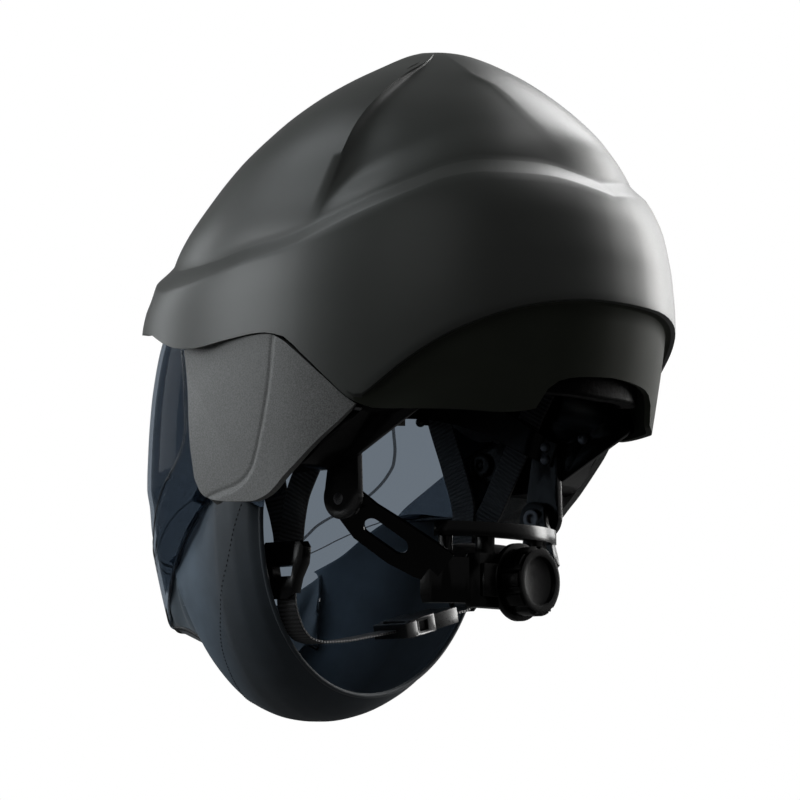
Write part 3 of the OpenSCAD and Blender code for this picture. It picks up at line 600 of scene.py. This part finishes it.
# %% Visor
VISOR_Y = curve([
    [-104, -147], [-100, -148], [-85, -151], [-73, -153], [-61, -154.5], [-49, -155.5], [-24, -154.5],
    [-6, -153.5], [12, -151.5], [24, -149], [36, -145.5], [46, -141], [60, -133]])
VISOR_X = curve([
    [-104, -23.5], [-100, -22.5], [-89, -19], [-73, -14], [-56, -8.5], [-41, -5], [-31, -0.6], [-22, 0],
    [46, 0], [60, -2]])
VISOR_LOW = curve([
    [0, -103], [14, -102.5], [22, -101.5], [28, -99], [34, -94], [41, -87], [52, -72.5], [64, -54.5],
    [71, -44.5], [77, -43.5], [90, -44], [95, -43], [100, -38], [104, -29], [106.5, -18]])
VISOR_TOP = curve([
    [0, 58], [40, 53], [54, 45], [64, 34], [72, 22], [80, 8], [90, -3], [96, -3.4], [100, -5.2],
    [104, -9.5], [106.5, -14]])
LENS = [
    (56, 62), (61.6, 32.1), (63.7, 18.5), (64.9, 3.7), (65.3, -4.4), (65, -11), (63.6, -17),
    (61.6, -22.4), (58.9, -27.7), (54.7, -33.9), (50.3, -39.1), (46.8, -44), (44.4, -49.2), (41, -55.5),
    (36, -60.5), (28, -65), (16, -68), (0, -69)]
MM_PER_DEGREE = 1.7
LENS_BORDER = [(MM_PER_DEGREE * t, z) for t, z in LENS]
PRESSED = [
    (70.5, -42.6), (65.5, -42.1), (62, -44), (59.2, -46), (55.9, -49), (52.7, -52), (48.5, -56.4),
    (42, -62), (34, -67), (24, -71), (12, -73.5), (0, -74.5)]
ARM_X, ARM_Y, VISOR_END = 87.5, -22, 106.5
VISOR_MIDDLE = (0, ARM_Y, 0)


def visor_point(t, z, depth):
    a = ARM_Y - VISOR_Y(z) - depth
    b = ARM_X + VISOR_X(z) - depth
    if abs(t) > 90:
        return math.copysign(b, t), ARM_Y + (abs(t) - 90), z
    c, s = cosine(t), sine(t)
    k = oval(1, 1, 2.3, c, s)
    return b * k * s, ARM_Y - a * k * c, z


def lens_depth(t, z):
    gap = border_distance(LENS_BORDER, MM_PER_DEGREE * abs(t), z)
    return 1.3 * rise(-0.8, 0.8, gap)


def on_visor(u, v):
    t = mix(-VISOR_END, VISOR_END, u)
    z = mix(VISOR_LOW(abs(t)), VISOR_TOP(abs(t)), v)
    return visor_point(t, z, lens_depth(t, z))


bm = grid(320, 120, on_visor, (450, 150))
face_away(bm, VISOR_MIDDLE)
visor = piece("tinted_visor", bm, visor_tint, "face_shield", ["visor"], "visor_plastic")
wall(visor, 2)

# %% [markdown]
# ### Dark lines of the visor
# Three strips lie where the wall is seen edge on: along the border of the lens, along a pressed line
# below it, and along the lower rim. Each is a narrow grid on a drawn line, so it bends with the visor.


# %% Edges of the visor
def both_sides(line):
    full = [(-a, b) for a, b in line] + [(a, b) for a, b in reversed(line[:-1])]
    run = [0]
    for (a0, b0), (a1, b1) in zip(full, full[1:]):
        run.append(run[-1] + math.hypot(MM_PER_DEGREE * (a1 - a0), b1 - b0))
    return run[-1], curves(run, full)


def line_strip(line, width, depth):
    length, (t_at, z_at) = both_sides(line)

    def rule(u, v):
        s = length * u
        before, after = max(0, s - 0.5), min(length, s + 0.5)
        dt, dz = MM_PER_DEGREE * (t_at(after) - t_at(before)), z_at(after) - z_at(before)
        size = math.hypot(dt, dz)
        off = width * (v - 0.5)
        t, z = t_at(s) - off * dz / size / MM_PER_DEGREE, z_at(s) + off * dt / size
        return visor_point(t, z, depth)

    return grid(260, 4, rule, (length, width))


def on_visor_rim(u, v):
    t = mix(-VISOR_END, VISOR_END, u)
    return visor_point(t, VISOR_LOW(abs(t)) - 0.2 + 1.3 * v, 1.15)


for name, bm, thick in (("lens_step", line_strip(LENS, 1.3, 0.35), 0.5),
                        ("pressed_line", line_strip(PRESSED, 0.6, 1.2), 0.3),
                        ("visor_rim", grid(260, 3, on_visor_rim, (400, 2)), 2.2)):
    face_away(bm, VISOR_MIDDLE)
    made = piece(name, bm, visor_edge, "face_shield")
    wall(made, thick)

# %% [markdown]
# ## Softened edges
# A moulded part never has a knife edge. For the small rigid parts it is enough to copy the solid, merge
# its flat triangles, and round its sharp edges by a few tenths of a millimetre. The round edge catches
# the light, so that a black part shows on black.


# %% Copy a solid with round edges
def softened(name, node, body, look, width=0.35, segments=2):
    finish, slot = look
    bm = bmesh.new()
    bm.from_mesh(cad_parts[node].data)
    bmesh.ops.remove_doubles(bm, verts=bm.verts, dist=1e-6)
    bmesh.ops.dissolve_limit(bm, angle_limit=math.radians(1), verts=bm.verts, edges=bm.edges)
    corner = math.radians(30)
    sharp = [e for e in bm.edges if len(e.link_faces) == 2 and e.calc_face_angle(0) > corner]
    bmesh.ops.bevel(bm, geom=sharp, offset=width * MM, offset_type="OFFSET", segments=segments,
                    profile=0.5, affect="EDGES", material=-1, clamp_overlap=True)
    bmesh.ops.triangulate(bm, faces=[f for f in bm.faces if len(f.verts) > 4])
    made = piece(name, bm, finish, body, [node], slot)
    made.data.set_sharp_from_angle(angle=math.radians(32))


BLACK, GLOSS = (black_plastic, "black_plastic"), (gloss_plastic, "black_plastic")
METAL, BUCKLE = (dark_metal, "dark_metal"), (buckle_plastic, "buckle_plastic")
SIDES = (("left", 1), ("right", -1))
for side, _ in SIDES:
    softened(f"{side}_ear_housing", f"{side}_housing", "helmet", BLACK)
    softened(f"{side}_pivot", f"{side}_pivot_pin", "helmet", BLACK)
    softened(f"{side}_hanger_plate", f"{side}_hanger", "helmet", GLOSS, 0.6, 3)
    softened(f"{side}_tilt_bolt", f"{side}_tilt_screw", "helmet", METAL, 0.4)
    softened(f"{side}_cradle_arm", f"{side}_nape_arm", "nape_cradle", BLACK, 0.5)
    softened(f"{side}_strap_slider", f"{side}_slider", "helmet", BLACK, 0.5)
softened("cradle_carrier", "nape_carrier", "nape_cradle", BLACK, 0.4)
softened("cradle_cover", "nape_cover", "nape_cradle", BLACK, 0.5)
softened("ratchet_knob", "fit_knob", "fit_dial", BLACK, 0.7, 3)
softened("buckle_half", "buckle_socket", "helmet", BUCKLE, 0.5)
softened("buckle_tongue", "buckle_plug", "strap_plug", BUCKLE, 0.4)
softened("plate_bolts", "plate_screws", "helmet", METAL, 0.3)
softened("hanger_studs", "hanger_rivets", "helmet", METAL, 0.3)
softened("foam_clips", "liner_clips", "helmet", BLACK, 0.5)

# %% [markdown]
# ## The side plate
# Each ear is covered by a plate with a speckled, matt face. Its front part is a raised pad. The plate is
# a grid between a lower and an upper outline, bent round an upright cylinder. The pad's border is a
# line in the plate's plane, and the depth of the face follows the distance from that line, so that the
# step has a soft shoulder and a soft foot. The steep front edge takes a third of the columns.

# %% Side plate
PLATE_R = 254
PLATE_FRONT, PLATE_BEND, PLATE_REAR, FRONT_SHARE = -68, -30.7, 51.5, 0.35
PLATE_LOW = curve([
    [-68, 31.1], [-67, 27.6], [-65, 20.8], [-60.4, 8.9], [-55.9, -5.8], [-51.7, -20.4], [-49.3, -27.7],
    [-47.1, -34.9], [-44.6, -38.7], [-41.7, -42.4], [-37.8, -44.8], [-32.5, -46.4], [-19.6, -48.2],
    [-3.5, -48.9], [1.2, -48], [5.9, -46.2], [10.4, -43.2], [14.9, -39], [22, -33], [28.7, -26.9],
    [35.3, -21], [43.4, -14.1], [50.2, -7.4], [51.5, -6]])
PLATE_TOP = curve([
    [-68, 31.2], [-54.7, 30.9], [-42.5, 30.1], [-28.9, 30.1], [-16.2, 30.5], [0, 31], [6, 30.4],
    [10, 29.1], [14.5, 26.8], [22, 21], [38.5, 6.3], [49, -3.6], [51.5, -5.3]])
PAD_LINE = [
    (9.4, 31), (8.2, 26.3), (7.3, 13.6), (5.5, 2.5), (2.8, -10), (1, -16.9), (-0.9, -23.9), (-2.7, -29.4),
    (-4.6, -33.5), (-7.5, -37.1), (-11.5, -40.1), (-17.5, -42.2), (-25.9, -43.8), (-33, -45.4),
    (-40, -47.5)]


def plate_place(u, v, side):
    if u < FRONT_SHARE:
        y = mix(PLATE_FRONT, PLATE_BEND, u / FRONT_SHARE)
    else:
        y = mix(PLATE_BEND, PLATE_REAR, (u - FRONT_SHARE) / (1 - FRONT_SHARE))
    z = mix(PLATE_LOW(y), PLATE_TOP(y), v)
    gap = border_distance(PAD_LINE, y, z)
    depth = 1.3 * rise(-2.4, 1.4, gap) + 0.45 * math.exp(-((gap - 0.9) / 1.1) ** 2)
    depth += 4.5 * rise(0, 80, max(0, gap) + 0.2 * max(0, y)) * max(0, gap) / 40
    depth += 5 * (max(0, y - 12) / 38) ** 2
    x = HALF - PLATE_R + math.sqrt((PLATE_R - depth) ** 2 - y * y)
    return side * x, y, z


for side, sign in SIDES:
    bm = grid(240, 100, lambda u, v: plate_place(u, v, sign), (106, 76))
    face_away(bm, (0, 0, 0))
    node = f"{side}_side_plate"
    plate = piece(f"{side}_plate_panel", bm, plate_plastic, "helmet", [node], "plate_plastic")
    wall(plate, 4.5)
    round_edges(plate, 0.9, 3, 50)

# %% [markdown]
# ## The bib
# The bib closes the space between the visor and the chest. It is a stiff laminate of cloth, stitched
# into a bowl that hangs almost without folds, so a cloth simulation would add nothing to it. Each row of
# the table is one line round the bowl, from the neck to the visor: its place at the bottom and at the
# top, half its width, and its upper and lower height. A slight wave is the slack of the cloth.

# %% Bib
BIB = [
    [-30, -23, 86.5, -49, -139], [-38, -29, 89, -45.5, -145.5], [-47, -37, 89.3, -43, -149.3],
    [-57, -45, 87.3, -41.5, -150.8], [-67, -53, 84, -40.5, -150.6], [-76, -60, 79.5, -39.5, -149.6],
    [-84, -68, 75.4, -40, -147.4], [-92, -77, 71, -44, -143.8], [-98.5, -88, 66, -52, -138.4],
    [-103, -98, 61, -61, -132], [-104.3, -106, 57.5, -66, -126], [-104, -113, 56, -69.5, -121]]
BIB_ROWS = curves(range(len(BIB)), BIB)
VISOR_ROW = len(BIB) - 1


def bib_point(row, q, depth=0.0):
    low, top, half_width, z_top, z_low = [read(row) for read in BIB_ROWS]
    d = depth + 0.8 * sine(22 * row) * sine(min(90, abs(q) * 3)) * rise(90, 70, abs(q))
    f = max(0, cosine(q)) ** (1.2 - 0.8 * rise(8.5, VISOR_ROW, row))
    z = z_top - (z_top - z_low - d) * cosine(q)
    return Vector(((half_width - d) * sine(q), top + (low - top) * f, z))


bm = grid(140, 90, lambda u, v: bib_point(VISOR_ROW * v, mix(-90, 90, u)), (330, 95))
face_away(bm, (0, -60, -60))
bib = piece("bib_cloth", bm, bib_fabric, "face_shield", ["bib_body"], "bib_fabric")
wall(bib, 1.4)

# %% [markdown]
# ### Side curtains
# Behind the lens a tinted film closes the gap between the visor's arm and the bib on each side. The rule
# goes straight from the bib's upper edge to a line on the inside of the visor, with a slight bulge.

# %% Side curtains
FLAP_Y = curve([
    [0, -13], [1, -24], [2, -36], [3, -46], [4, -55], [5, -63], [6, -71], [7, -79], [8, -89], [9, -98.5],
    [10, -107], [11, -114]])
FLAP_Z = curve([
    [-114, -78], [-107, -71], [-98.5, -64], [-89, -55.5], [-79, -45.5], [-70, -36], [-63, -30.7],
    [-49, -21.4], [-36, -13.5], [-24, -7.6], [-13, -3]])
CURTAIN_ROWS = 6.6


def flap_point(row, sign):
    y = FLAP_Y(row)
    k = min(1, max(0, (ARM_Y - y) / 131))
    x = 84.6 * max(0, 1 - k ** 2.3) ** (1 / 2.3) - 0.4
    return Vector((sign * x, y, FLAP_Z(y)))


def on_curtain(u, v, sign):
    row = CURTAIN_ROWS * u
    low, high = bib_point(row, 90 * sign, 2.2) - Vector((0, 0, 3)), flap_point(row, sign)
    return low.lerp(high, v) + Vector((sign * 1.2 * sine(180 * v), 0, 0))


for side, sign in SIDES:
    bm = grid(40, 20, lambda u, v: on_curtain(u, v, sign), (60, 40))
    face_away(bm, (0, -40, -30))
    made = piece(f"{side}_side_curtain", bm, visor_tint, "face_shield")
    wall(made, 0.8)

# %% [markdown]
# ### Neck tape
# A raw edge of laminate would fray and chafe, so a folded tape binds it. The tape is a thin tube that
# follows the bib's first line.


# %% Rolled binding at the neck
def on_binding(u, v):
    q = mix(-90, 90, u)
    x, y, z = bib_point(0, q, 0.1)
    out = Vector((sine(q), 0, -cosine(q)))
    turn = 360 * v
    return Vector((x, y + 0.2, z)) + out * (1.25 * cosine(turn) - 0.7) + Vector((0, 1.3 * sine(turn), 0))


bm = grid(120, 16, on_binding, (340, 10))
bmesh.ops.recalc_face_normals(bm, faces=bm.faces)
piece("neck_tape", bm, binding_tape, "face_shield", ["neck_binding"], "binding_tape")

# %% [markdown]
# ### Hem stitches
# One row of dark thread runs round the bowl, where the bib is sewn. Each stitch is a small ball that is
# drawn out along the seam and pressed flat across it, and all of them share one mesh.

# %% Stitches of the hem
STITCH_ROW = curve([[0, 7.2], [15, 7], [30, 6.4], [45, 6], [60, 4.7], [75, 2.7], [90, 1.3]])
STITCHES, STITCH_LENGTH, STITCH_WIDTH = 64, 0.85, 0.28
bm = bmesh.new()
for k in range(STITCHES):
    for side in (1, -1):
        q = side * (2 + 87.5 * k / (STITCHES - 1))
        a = bib_point(STITCH_ROW(abs(q) - 0.3), q - 0.3 * side, -0.1)
        b = bib_point(STITCH_ROW(abs(q) + 0.3), q + 0.3 * side, -0.1)
        seam = (b - a).normalized()
        made = bmesh.ops.create_icosphere(bm, subdivisions=1, radius=1)
        for vert in made["verts"]:
            reach = vert.co.dot(seam)
            across = (vert.co - seam * reach) * STITCH_WIDTH
            vert.co = (a.lerp(b, 0.5) + across + seam * reach * STITCH_LENGTH) * MM
bm.loops.layers.uv.new("UVMap")
piece("hem_stitches", bm, stitch_thread, "face_shield")

# %% [markdown]
# ## The chin panel
# In front of the bib a coated panel hangs from the visor's lower edge, with soft folds and a piped hem.
# From the hem its lining runs back under the chin to the bib, so that no hot gas gets in. Both are one
# grid, whose first half goes down to the hem and whose second half goes back to the bib.

# %% Chin panel
HEM = curves([0, 14, 24, 34, 44, 56], [[0, -144, -103], [17, -142, -103], [28, -135.5, -101.5],
                                       [36, -121, -103], [40, -108, -107], [42, -99, -111]])
CHIN_END = 56
CHIN_CORNER = (54.3, -109.5, -71)


def chin_point(t, s):
    sign = 1 if t >= 0 else -1
    x, y, z = CHIN_CORNER
    top = Vector(visor_point(t, VISOR_LOW(abs(t)) + 4, 2.4))
    top = top.lerp(Vector((sign * x, y, z)), rise(47, CHIN_END, abs(t)))
    hem = Vector([read(abs(t)) for read in HEM])
    hem.x *= sign
    place = top.lerp(hem, s)
    inward = Vector((-place.x, -40 - place.y, 0)).normalized()
    wave = 1.3 * sine(abs(t) * 30 + 260 * s) * sine(180 * s)
    return place - inward * (2.2 * sine(180 * s) * cosine(t * 1.4) + wave - 0.3)


def on_chin(u, v):
    t = mix(-CHIN_END, CHIN_END, u)
    if v <= 0.5:
        return chin_point(t, 2 * v)
    edge = bib_point(VISOR_ROW, 0.8 * t, 0.2) + Vector((0, 2.5, -0.6))
    return chin_point(t, 1).lerp(edge, 2 * v - 1)


bm = grid(90, 60, on_chin, (150, 80))
face_away(bm, (0, -40, -90))
# painted light: the chin panel wears the paler copy of the bib laminate
chin = piece("chin_cloth", bm, lit_bib_fabric, "face_shield", ["chin_panel"], "bib_fabric")
wall(chin, 1.0)

# %% [markdown]
# ### Piping
# The hem is finished with a dark round cord. A tube along the hem needs its own cross direction at each
# point, which comes from the hem's direction and the upright.


# %% Piping of the chin panel
def on_piping(u, v):
    t = mix(-CHIN_END, CHIN_END, u)
    ahead = chin_point(min(CHIN_END, t + 0.5), 1) - chin_point(max(-CHIN_END, t - 0.5), 1)
    ahead = ahead.normalized()
    side = ahead.cross(Vector((0, 0, 1))).normalized()
    turn = 360 * v
    return chin_point(t, 1) + side * (1.1 * cosine(turn)) + side.cross(ahead) * (1.1 * sine(turn))


bm = grid(90, 12, on_piping, (150, 7))
bmesh.ops.recalc_face_normals(bm, faces=bm.faces)
piece("chin_piping", bm, stitch_thread, "face_shield")

# %% [markdown]
# ## Clamp strip
# A thin strip inside the visor's lower edge holds the cloth. It is the visor's own surface once more, a
# few millimetres high and set in by the thickness of the wall, so it fits without any adjusting.

# %% Clamp strip
CLAMP_END = 66


def on_clamp(u, v):
    t = mix(-CLAMP_END, CLAMP_END, u)
    return visor_point(t, VISOR_LOW(abs(t)) + 1 + 3 * v, 2.05)


bm = grid(100, 4, on_clamp, (260, 6))
face_away(bm, (0, -22, -60))
clamp = piece("clamp_strip", bm, clamp_plastic, "face_shield", ["bib_clamp"], "bib_clamp_plastic")
wall(clamp, 1.2)
round_edges(clamp, 0.3)

# %% [markdown]
# ## Straps
# Webbing is a flat ribbon. It is laid directly along a smooth path, because a cloth simulation would
# melt its edges. A rule carries the grid along the path and turns its width the way it is given.


# %% Ribbons along a path
def spline(points):
    run = [0.0]
    for a, b in zip(points, points[1:]):
        run.append(run[-1] + (Vector(b) - Vector(a)).length)
    axes = curves(run, points)
    return run, lambda s: Vector([axis(s) for axis in axes])


def ribbon(points, widths, across, samples):
    run, at = spline(points)
    width_at = curve(list(zip(run, widths)))
    across_at = curves(run, across)
    length = run[-1]

    def rule(u, v):
        s = length * u
        ahead = (at(min(length, s + 0.3)) - at(max(0, s - 0.3))).normalized()
        side = Vector([read(s) for read in across_at])
        side = (side - ahead * side.dot(ahead)).normalized()
        return at(s) + side * (width_at(s) * (v - 0.5))

    return grid(samples, 8, rule, (length, max(widths)))


print("a path of two points is", spline([[0, 0, 0], [3, 4, 0]])[0][-1], "mm long")

# %% [markdown]
# ### The harness
# Two straps come down from the head band on each side and meet in a V below the ear, and the two halves
# of the chin strap meet in a buckle that sits off the middle. The right side mirrors the left.


# %% Webbing of the harness
def strap(name, points, width, across, node):
    bm = ribbon(points, [width] * len(points), across, 90)
    made = piece(name, bm, webbing, "helmet", [node], "webbing")
    wall(made, 1.4, 0)
    round_edges(made, 0.35)


STRAP_X, STRAP_WIDTH, CHIN_WIDTH = 75.2, 15, 12
FRONT_LEG = [
    [-16.5, -53, 63], [-11, -51, 50], [-2.6, -48, 35], [0, -46, 24], [0, -41, 8], [0, -32, -16],
    [0, -25, -38], [-3.6, -23, -54], [-5.2, -22.3, -64], [-5.2, -22, -72]]
REAR_LEG = [
    [7, 31, 37], [3, 28, 25], [0, 19, 6], [0, 9, -12], [0, -6, -38], [-3.6, -14, -54], [-5.2, -17, -64],
    [-5.2, -19, -72]]


def leg_across(points):
    across = []
    for k in range(len(points)):
        a, b = points[max(k - 1, 0)], points[min(k + 1, len(points) - 1)]
        ahead = (Vector(b) - Vector(a)).normalized()
        across.append([0, ahead.z, -ahead.y])
    return across


for side, sign in SIDES:
    for name, leg, x in (("front", FRONT_LEG, STRAP_X - 1.6), ("rear", REAR_LEG, STRAP_X)):
        points = [[sign * (p[0] + x), p[1], p[2]] for p in leg]
        node = f"{side}_{name}_strap"
        strap(f"{side}_{name}_webbing", points, STRAP_WIDTH, leg_across(leg), node)

SLIDE_X = 66.5
CHIN_L = [
    [SLIDE_X + 2.6, -21, -86.5], [SLIDE_X + 2.1, -21, -95], [SLIDE_X - 1, -21, -103],
    [SLIDE_X - 5, -21, -108.5], [56, -21, -112], [48, -21, -113.2], [34, -21, -112.4], [14, -21, -109.6],
    [-8, -21, -105.9]]
BUCKLE_A = Vector((-9, -21, -106))
BUCKLE_D = Vector((-46, 0, 11)).normalized()
CHIN_R = [list(BUCKLE_A + d * BUCKLE_D) for d in (38.5, 48, 58.5)]
CHIN_R += [[-SLIDE_X - 1.8, -21, -90.4], [-SLIDE_X - 2.8, -21, -87]]
strap("left_chin_webbing", CHIN_L, CHIN_WIDTH, [[0, 1, 0]] * len(CHIN_L), "left_chin_strap")
strap("right_chin_webbing", CHIN_R, CHIN_WIDTH, [[0, 1, 0]] * len(CHIN_R), "right_chin_strap")

# %% [markdown]
# ## Head band
# The band is a springy strip of plastic round the head, and two hooks hang it in the liner. All are
# ribbons like the straps, with their own width at each point. The left half is drawn and flipped.


# %% Head band
def flip(point):
    return [-point[0], point[1], point[2]]


BAND = [
    [0, -98, 22], [15, -97, 22], [30, -92.5, 22], [43.5, -84, 21.5], [55, -71.5, 21], [64, -56, 20],
    [69, -39, 17], [71.2, -21, 12], [72, -3, 5], [72.2, 12, -3], [72.8, 19.5, -7], [76, 26.5, -11.5],
    [76, 33, -14.5]]
BAND_W = [24, 24, 24, 23, 22, 20, 18, 17, 16, 15, 14, 13, 13]
BAND_DOWN = [[0, -0.35 * rise(4, 10, k), -1] for k in range(13)]
both = [flip(p) for p in reversed(BAND[1:])] + BAND
bm = ribbon(both, BAND_W[:0:-1] + BAND_W, BAND_DOWN[:0:-1] + BAND_DOWN, 200)
band = piece("head_band", bm, black_plastic, "helmet", ["headband"], "black_plastic")
wall(band, 1.6, 0)
round_edges(band, 0.4)

for side, sign in SIDES:
    hook = [[30.4, -94.2, 18], [30, -93, 38], [28.5, -81, 61], [27, -67.5, 76]]
    hook = [[sign * p[0], p[1], p[2]] for p in hook]
    bm = ribbon(hook, [12] * len(hook), [[0.91, sign * 0.41, 0]] * len(hook), 30)
    made = piece(f"{side}_band_hook", bm, black_plastic, "helmet", ["band_hooks"], "black_plastic")
    wall(made, 1.6, 0)
    round_edges(made, 0.3)

# %% [markdown]
# ## Pads
# The pads at the brow and the nape are soft. Each starts as a closed box of cloth that is bent along the
# band, with its faces crowned and its edges pulled in. On a stiff band a cloth simulation adds nothing.


# %% Soft pads
def pillow(cuts, rule):
    bm = bmesh.new()
    uv = bm.loops.layers.uv.new("UVMap")
    bmesh.ops.create_cube(bm, size=2)
    bmesh.ops.subdivide_edges(bm, edges=bm.edges, cuts=cuts, use_grid_fill=True)
    for face in bm.faces:
        for corner in face.loops:
            corner[uv].uv = (corner.vert.co.x * 70, corner.vert.co.y * 14)
    for vert in bm.verts:
        x, y, z = vert.co
        edge = (1 - abs(x) ** 8) * (1 - abs(y) ** 5)
        vert.co = Vector(rule(x, y, z * (0.35 + 0.65 * edge ** 0.5))) * MM
    bmesh.ops.recalc_face_normals(bm, faces=bm.faces)
    return bm


PAD_PATH = [flip(p) for p in reversed(BAND[1:6])] + BAND[:6]
pad_run, pad_at = spline(PAD_PATH)


def on_brow_pad(x, y, z):
    s = pad_run[-1] * (x + 1) / 2
    place = pad_at(s)
    inward = Vector((-place.x / 0.55, -place.y, 0)).normalized()
    height = 14.5 - 2.5 * abs(x)
    quilt = 0.5 * (1 - abs(sine(x * 540))) * max(z, 0)
    return place + inward * (2.6 + 1.5 * z - quilt) + Vector((0, 0, -2 + height * y))


bm = pillow(48, on_brow_pad)
brow = piece("brow_cushion", bm, pad_fabric, "helmet", ["brow_pad"], "pad_fabric")
NAPE_R, NAPE_Y, NAPE_Z = 61.4, -7, -80


def on_nape_pad(x, y, z):
    turn = 32 * x
    r = NAPE_R + 2.9 * z
    return r * sine(turn), NAPE_Y + r * cosine(turn), NAPE_Z + (14 - 1.5 * x * x) * y


bm = pillow(32, on_nape_pad)
nape = piece("nape_cushion", bm, nape_foam, "nape_cradle", ["nape_pad"], "nape_foam")

# %% [markdown]
# ## Solids that stay
# The racks and the pinion inside the carrier, and the snaps of the brow pad, are exact already and are
# hardly seen. They keep their shape and only get a finish.

# %% Finishes of the solids that stay
for node, finish in (("pinion", gear_plastic), ("left_rack", gear_plastic), ("right_rack", gear_plastic),
                     ("brow_snaps", gloss_plastic)):
    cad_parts[node].data.materials.clear()
    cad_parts[node].data.materials.append(finish)
    print(node, "is", finish.name)

# %% [markdown]
# ## Light
# A dark object needs light from its edges. Tall soft boxes stand on the far side, at the right in the
# picture, and draw the bright rear contour of the shell. Others light the front from the left and from
# above, and a weak one near the camera opens the shadows. Their powers were fitted until the brightness
# of each part of the helmet agreed. The boxes show in reflections, but neither directly nor through the
# visor.


# %% Lamps
def lamp(name, place, size, power, colour):
    light = bpy.data.lights.new(name, "AREA")
    light.shape = "RECTANGLE"
    light.size, light.size_y = size
    light.energy = power
    light.color = colour
    made = aimed(name, light, place, LAMP_AIM)
    made.visible_camera = False
    made.visible_transmission = False


LAMP_AIM = (0, 0, 0.05)
LAMPS = [("rear_edge_box", (-1.58, 0.43, 0.49), (0.5, 1.2), 17.5, (1.0, 0.995, 0.98)),
         ("rear_low_box", (-1.64, -0.14, 0.49), (0.7, 0.9), 5.1, (1, 1, 1)),
         ("rear_high_box", (-1.2, -0.1, 1.25), (0.5, 0.8), 9.7, (1, 1, 1)),
         ("rear_side_box", (-1.2, 0.85, 0.9), (0.5, 0.8), 2.1, (1, 1, 1)),
         ("top_rear_box", (-0.65, 0.55, 1.52), (0.8, 0.8), 3.4, (1, 1, 1)),
         ("top_front_box", (0.62, -0.9, 1.35), (0.8, 0.8), 4.4, (0.95, 1.0, 1.03)),
         ("front_box", (1.16, -1.17, 0.49), (0.6, 0.8), 8.6, (0.96, 1.0, 1.02)),
         ("front_side_box", (0.14, -1.64, 0.49), (0.5, 0.8), 3.2, (0.96, 1.0, 1.02)),
         ("fill_box", (1.45, 0.52, 0.77), (1.0, 1.0), 1.5, (0.97, 1.0, 0.99))]
for row in LAMPS:
    lamp(*row)
print("soft boxes:", len(LAMPS), "with", round(sum(row[3] for row in LAMPS), 1), "watts in all")

# %% [markdown]
# ## Background
# The helmet stands in front of plain white, but a white world would also turn its black plastic grey. So
# the world is white only for what is seen directly or through the visor, and glossy rays find a sixth.

# %% White world
WORLD_DARK, MIRRORED_SHARE = (0.022, 0.022, 0.023, 1), 0.16
world = bpy.data.worlds.new("studio")
bpy.context.scene.world = world
world.use_nodes = True
tree = world.node_tree
rays = add(tree, "ShaderNodeLightPath", {}).outputs
seen = add(tree, "ShaderNodeMath", {0: rays["Is Camera Ray"], 1: rays["Is Transmission Ray"]},
           operation="MAXIMUM")
share = add(tree, "ShaderNodeMath", {0: rays["Is Glossy Ray"], 1: MIRRORED_SHARE, 2: seen.outputs[0]},
            operation="MULTIPLY_ADD")
level = add(tree, "ShaderNodeMix", {"Factor": share.outputs[0], 6: WORLD_DARK, 7: (1, 1, 1, 1)},
            data_type="RGBA")
fill(tree, tree.nodes["Background"], {"Color": level.outputs[2]})
print("world:", world.name)

# %% [markdown]
# ## Floor
# The floor lies far below, out of the picture. It is nearly black for light, so that nothing bounces up
# into the shell, and pale with a glow of its own for the camera, so that views from above stay white.

# %% Floor
FLOOR_SIZE, FLOOR_Z = 6, -0.32
FLOOR_DARK, FLOOR_PALE, FLOOR_GLOW = (0.08, 0.08, 0.08, 1), (0.6, 0.6, 0.6, 1), 0.75
bm = bmesh.new()
bmesh.ops.create_grid(bm, x_segments=2, y_segments=2, size=FLOOR_SIZE)
for vert in bm.verts:
    vert.co.z = FLOOR_Z
mesh = bpy.data.meshes.new("studio_floor")
bm.to_mesh(mesh)
bm.free()
floor = in_scene("studio_floor", mesh)
paint, tree, shader = new_finish("pale floor")
seen = add(tree, "ShaderNodeLightPath", {}).outputs["Is Camera Ray"]
shade = add(tree, "ShaderNodeMix", {"Factor": seen, 6: FLOOR_DARK, 7: FLOOR_PALE}, data_type="RGBA")
fill(tree, shader, {"Base Color": shade.outputs[2], "Roughness": 0.9})
dim = add(tree, "ShaderNodeMath", {0: seen, 1: FLOOR_GLOW}, operation="MULTIPLY")
glow = add(tree, "ShaderNodeEmission", {"Strength": dim.outputs[0]})
lit = add(tree, "ShaderNodeAddShader", {0: shader.outputs["BSDF"], 1: glow.outputs["Emission"]})
fill(tree, tree.nodes["Material Output"], {"Surface": lit.outputs["Shader"]})
mesh.materials.append(paint)
print("floor at", FLOOR_Z, "m")
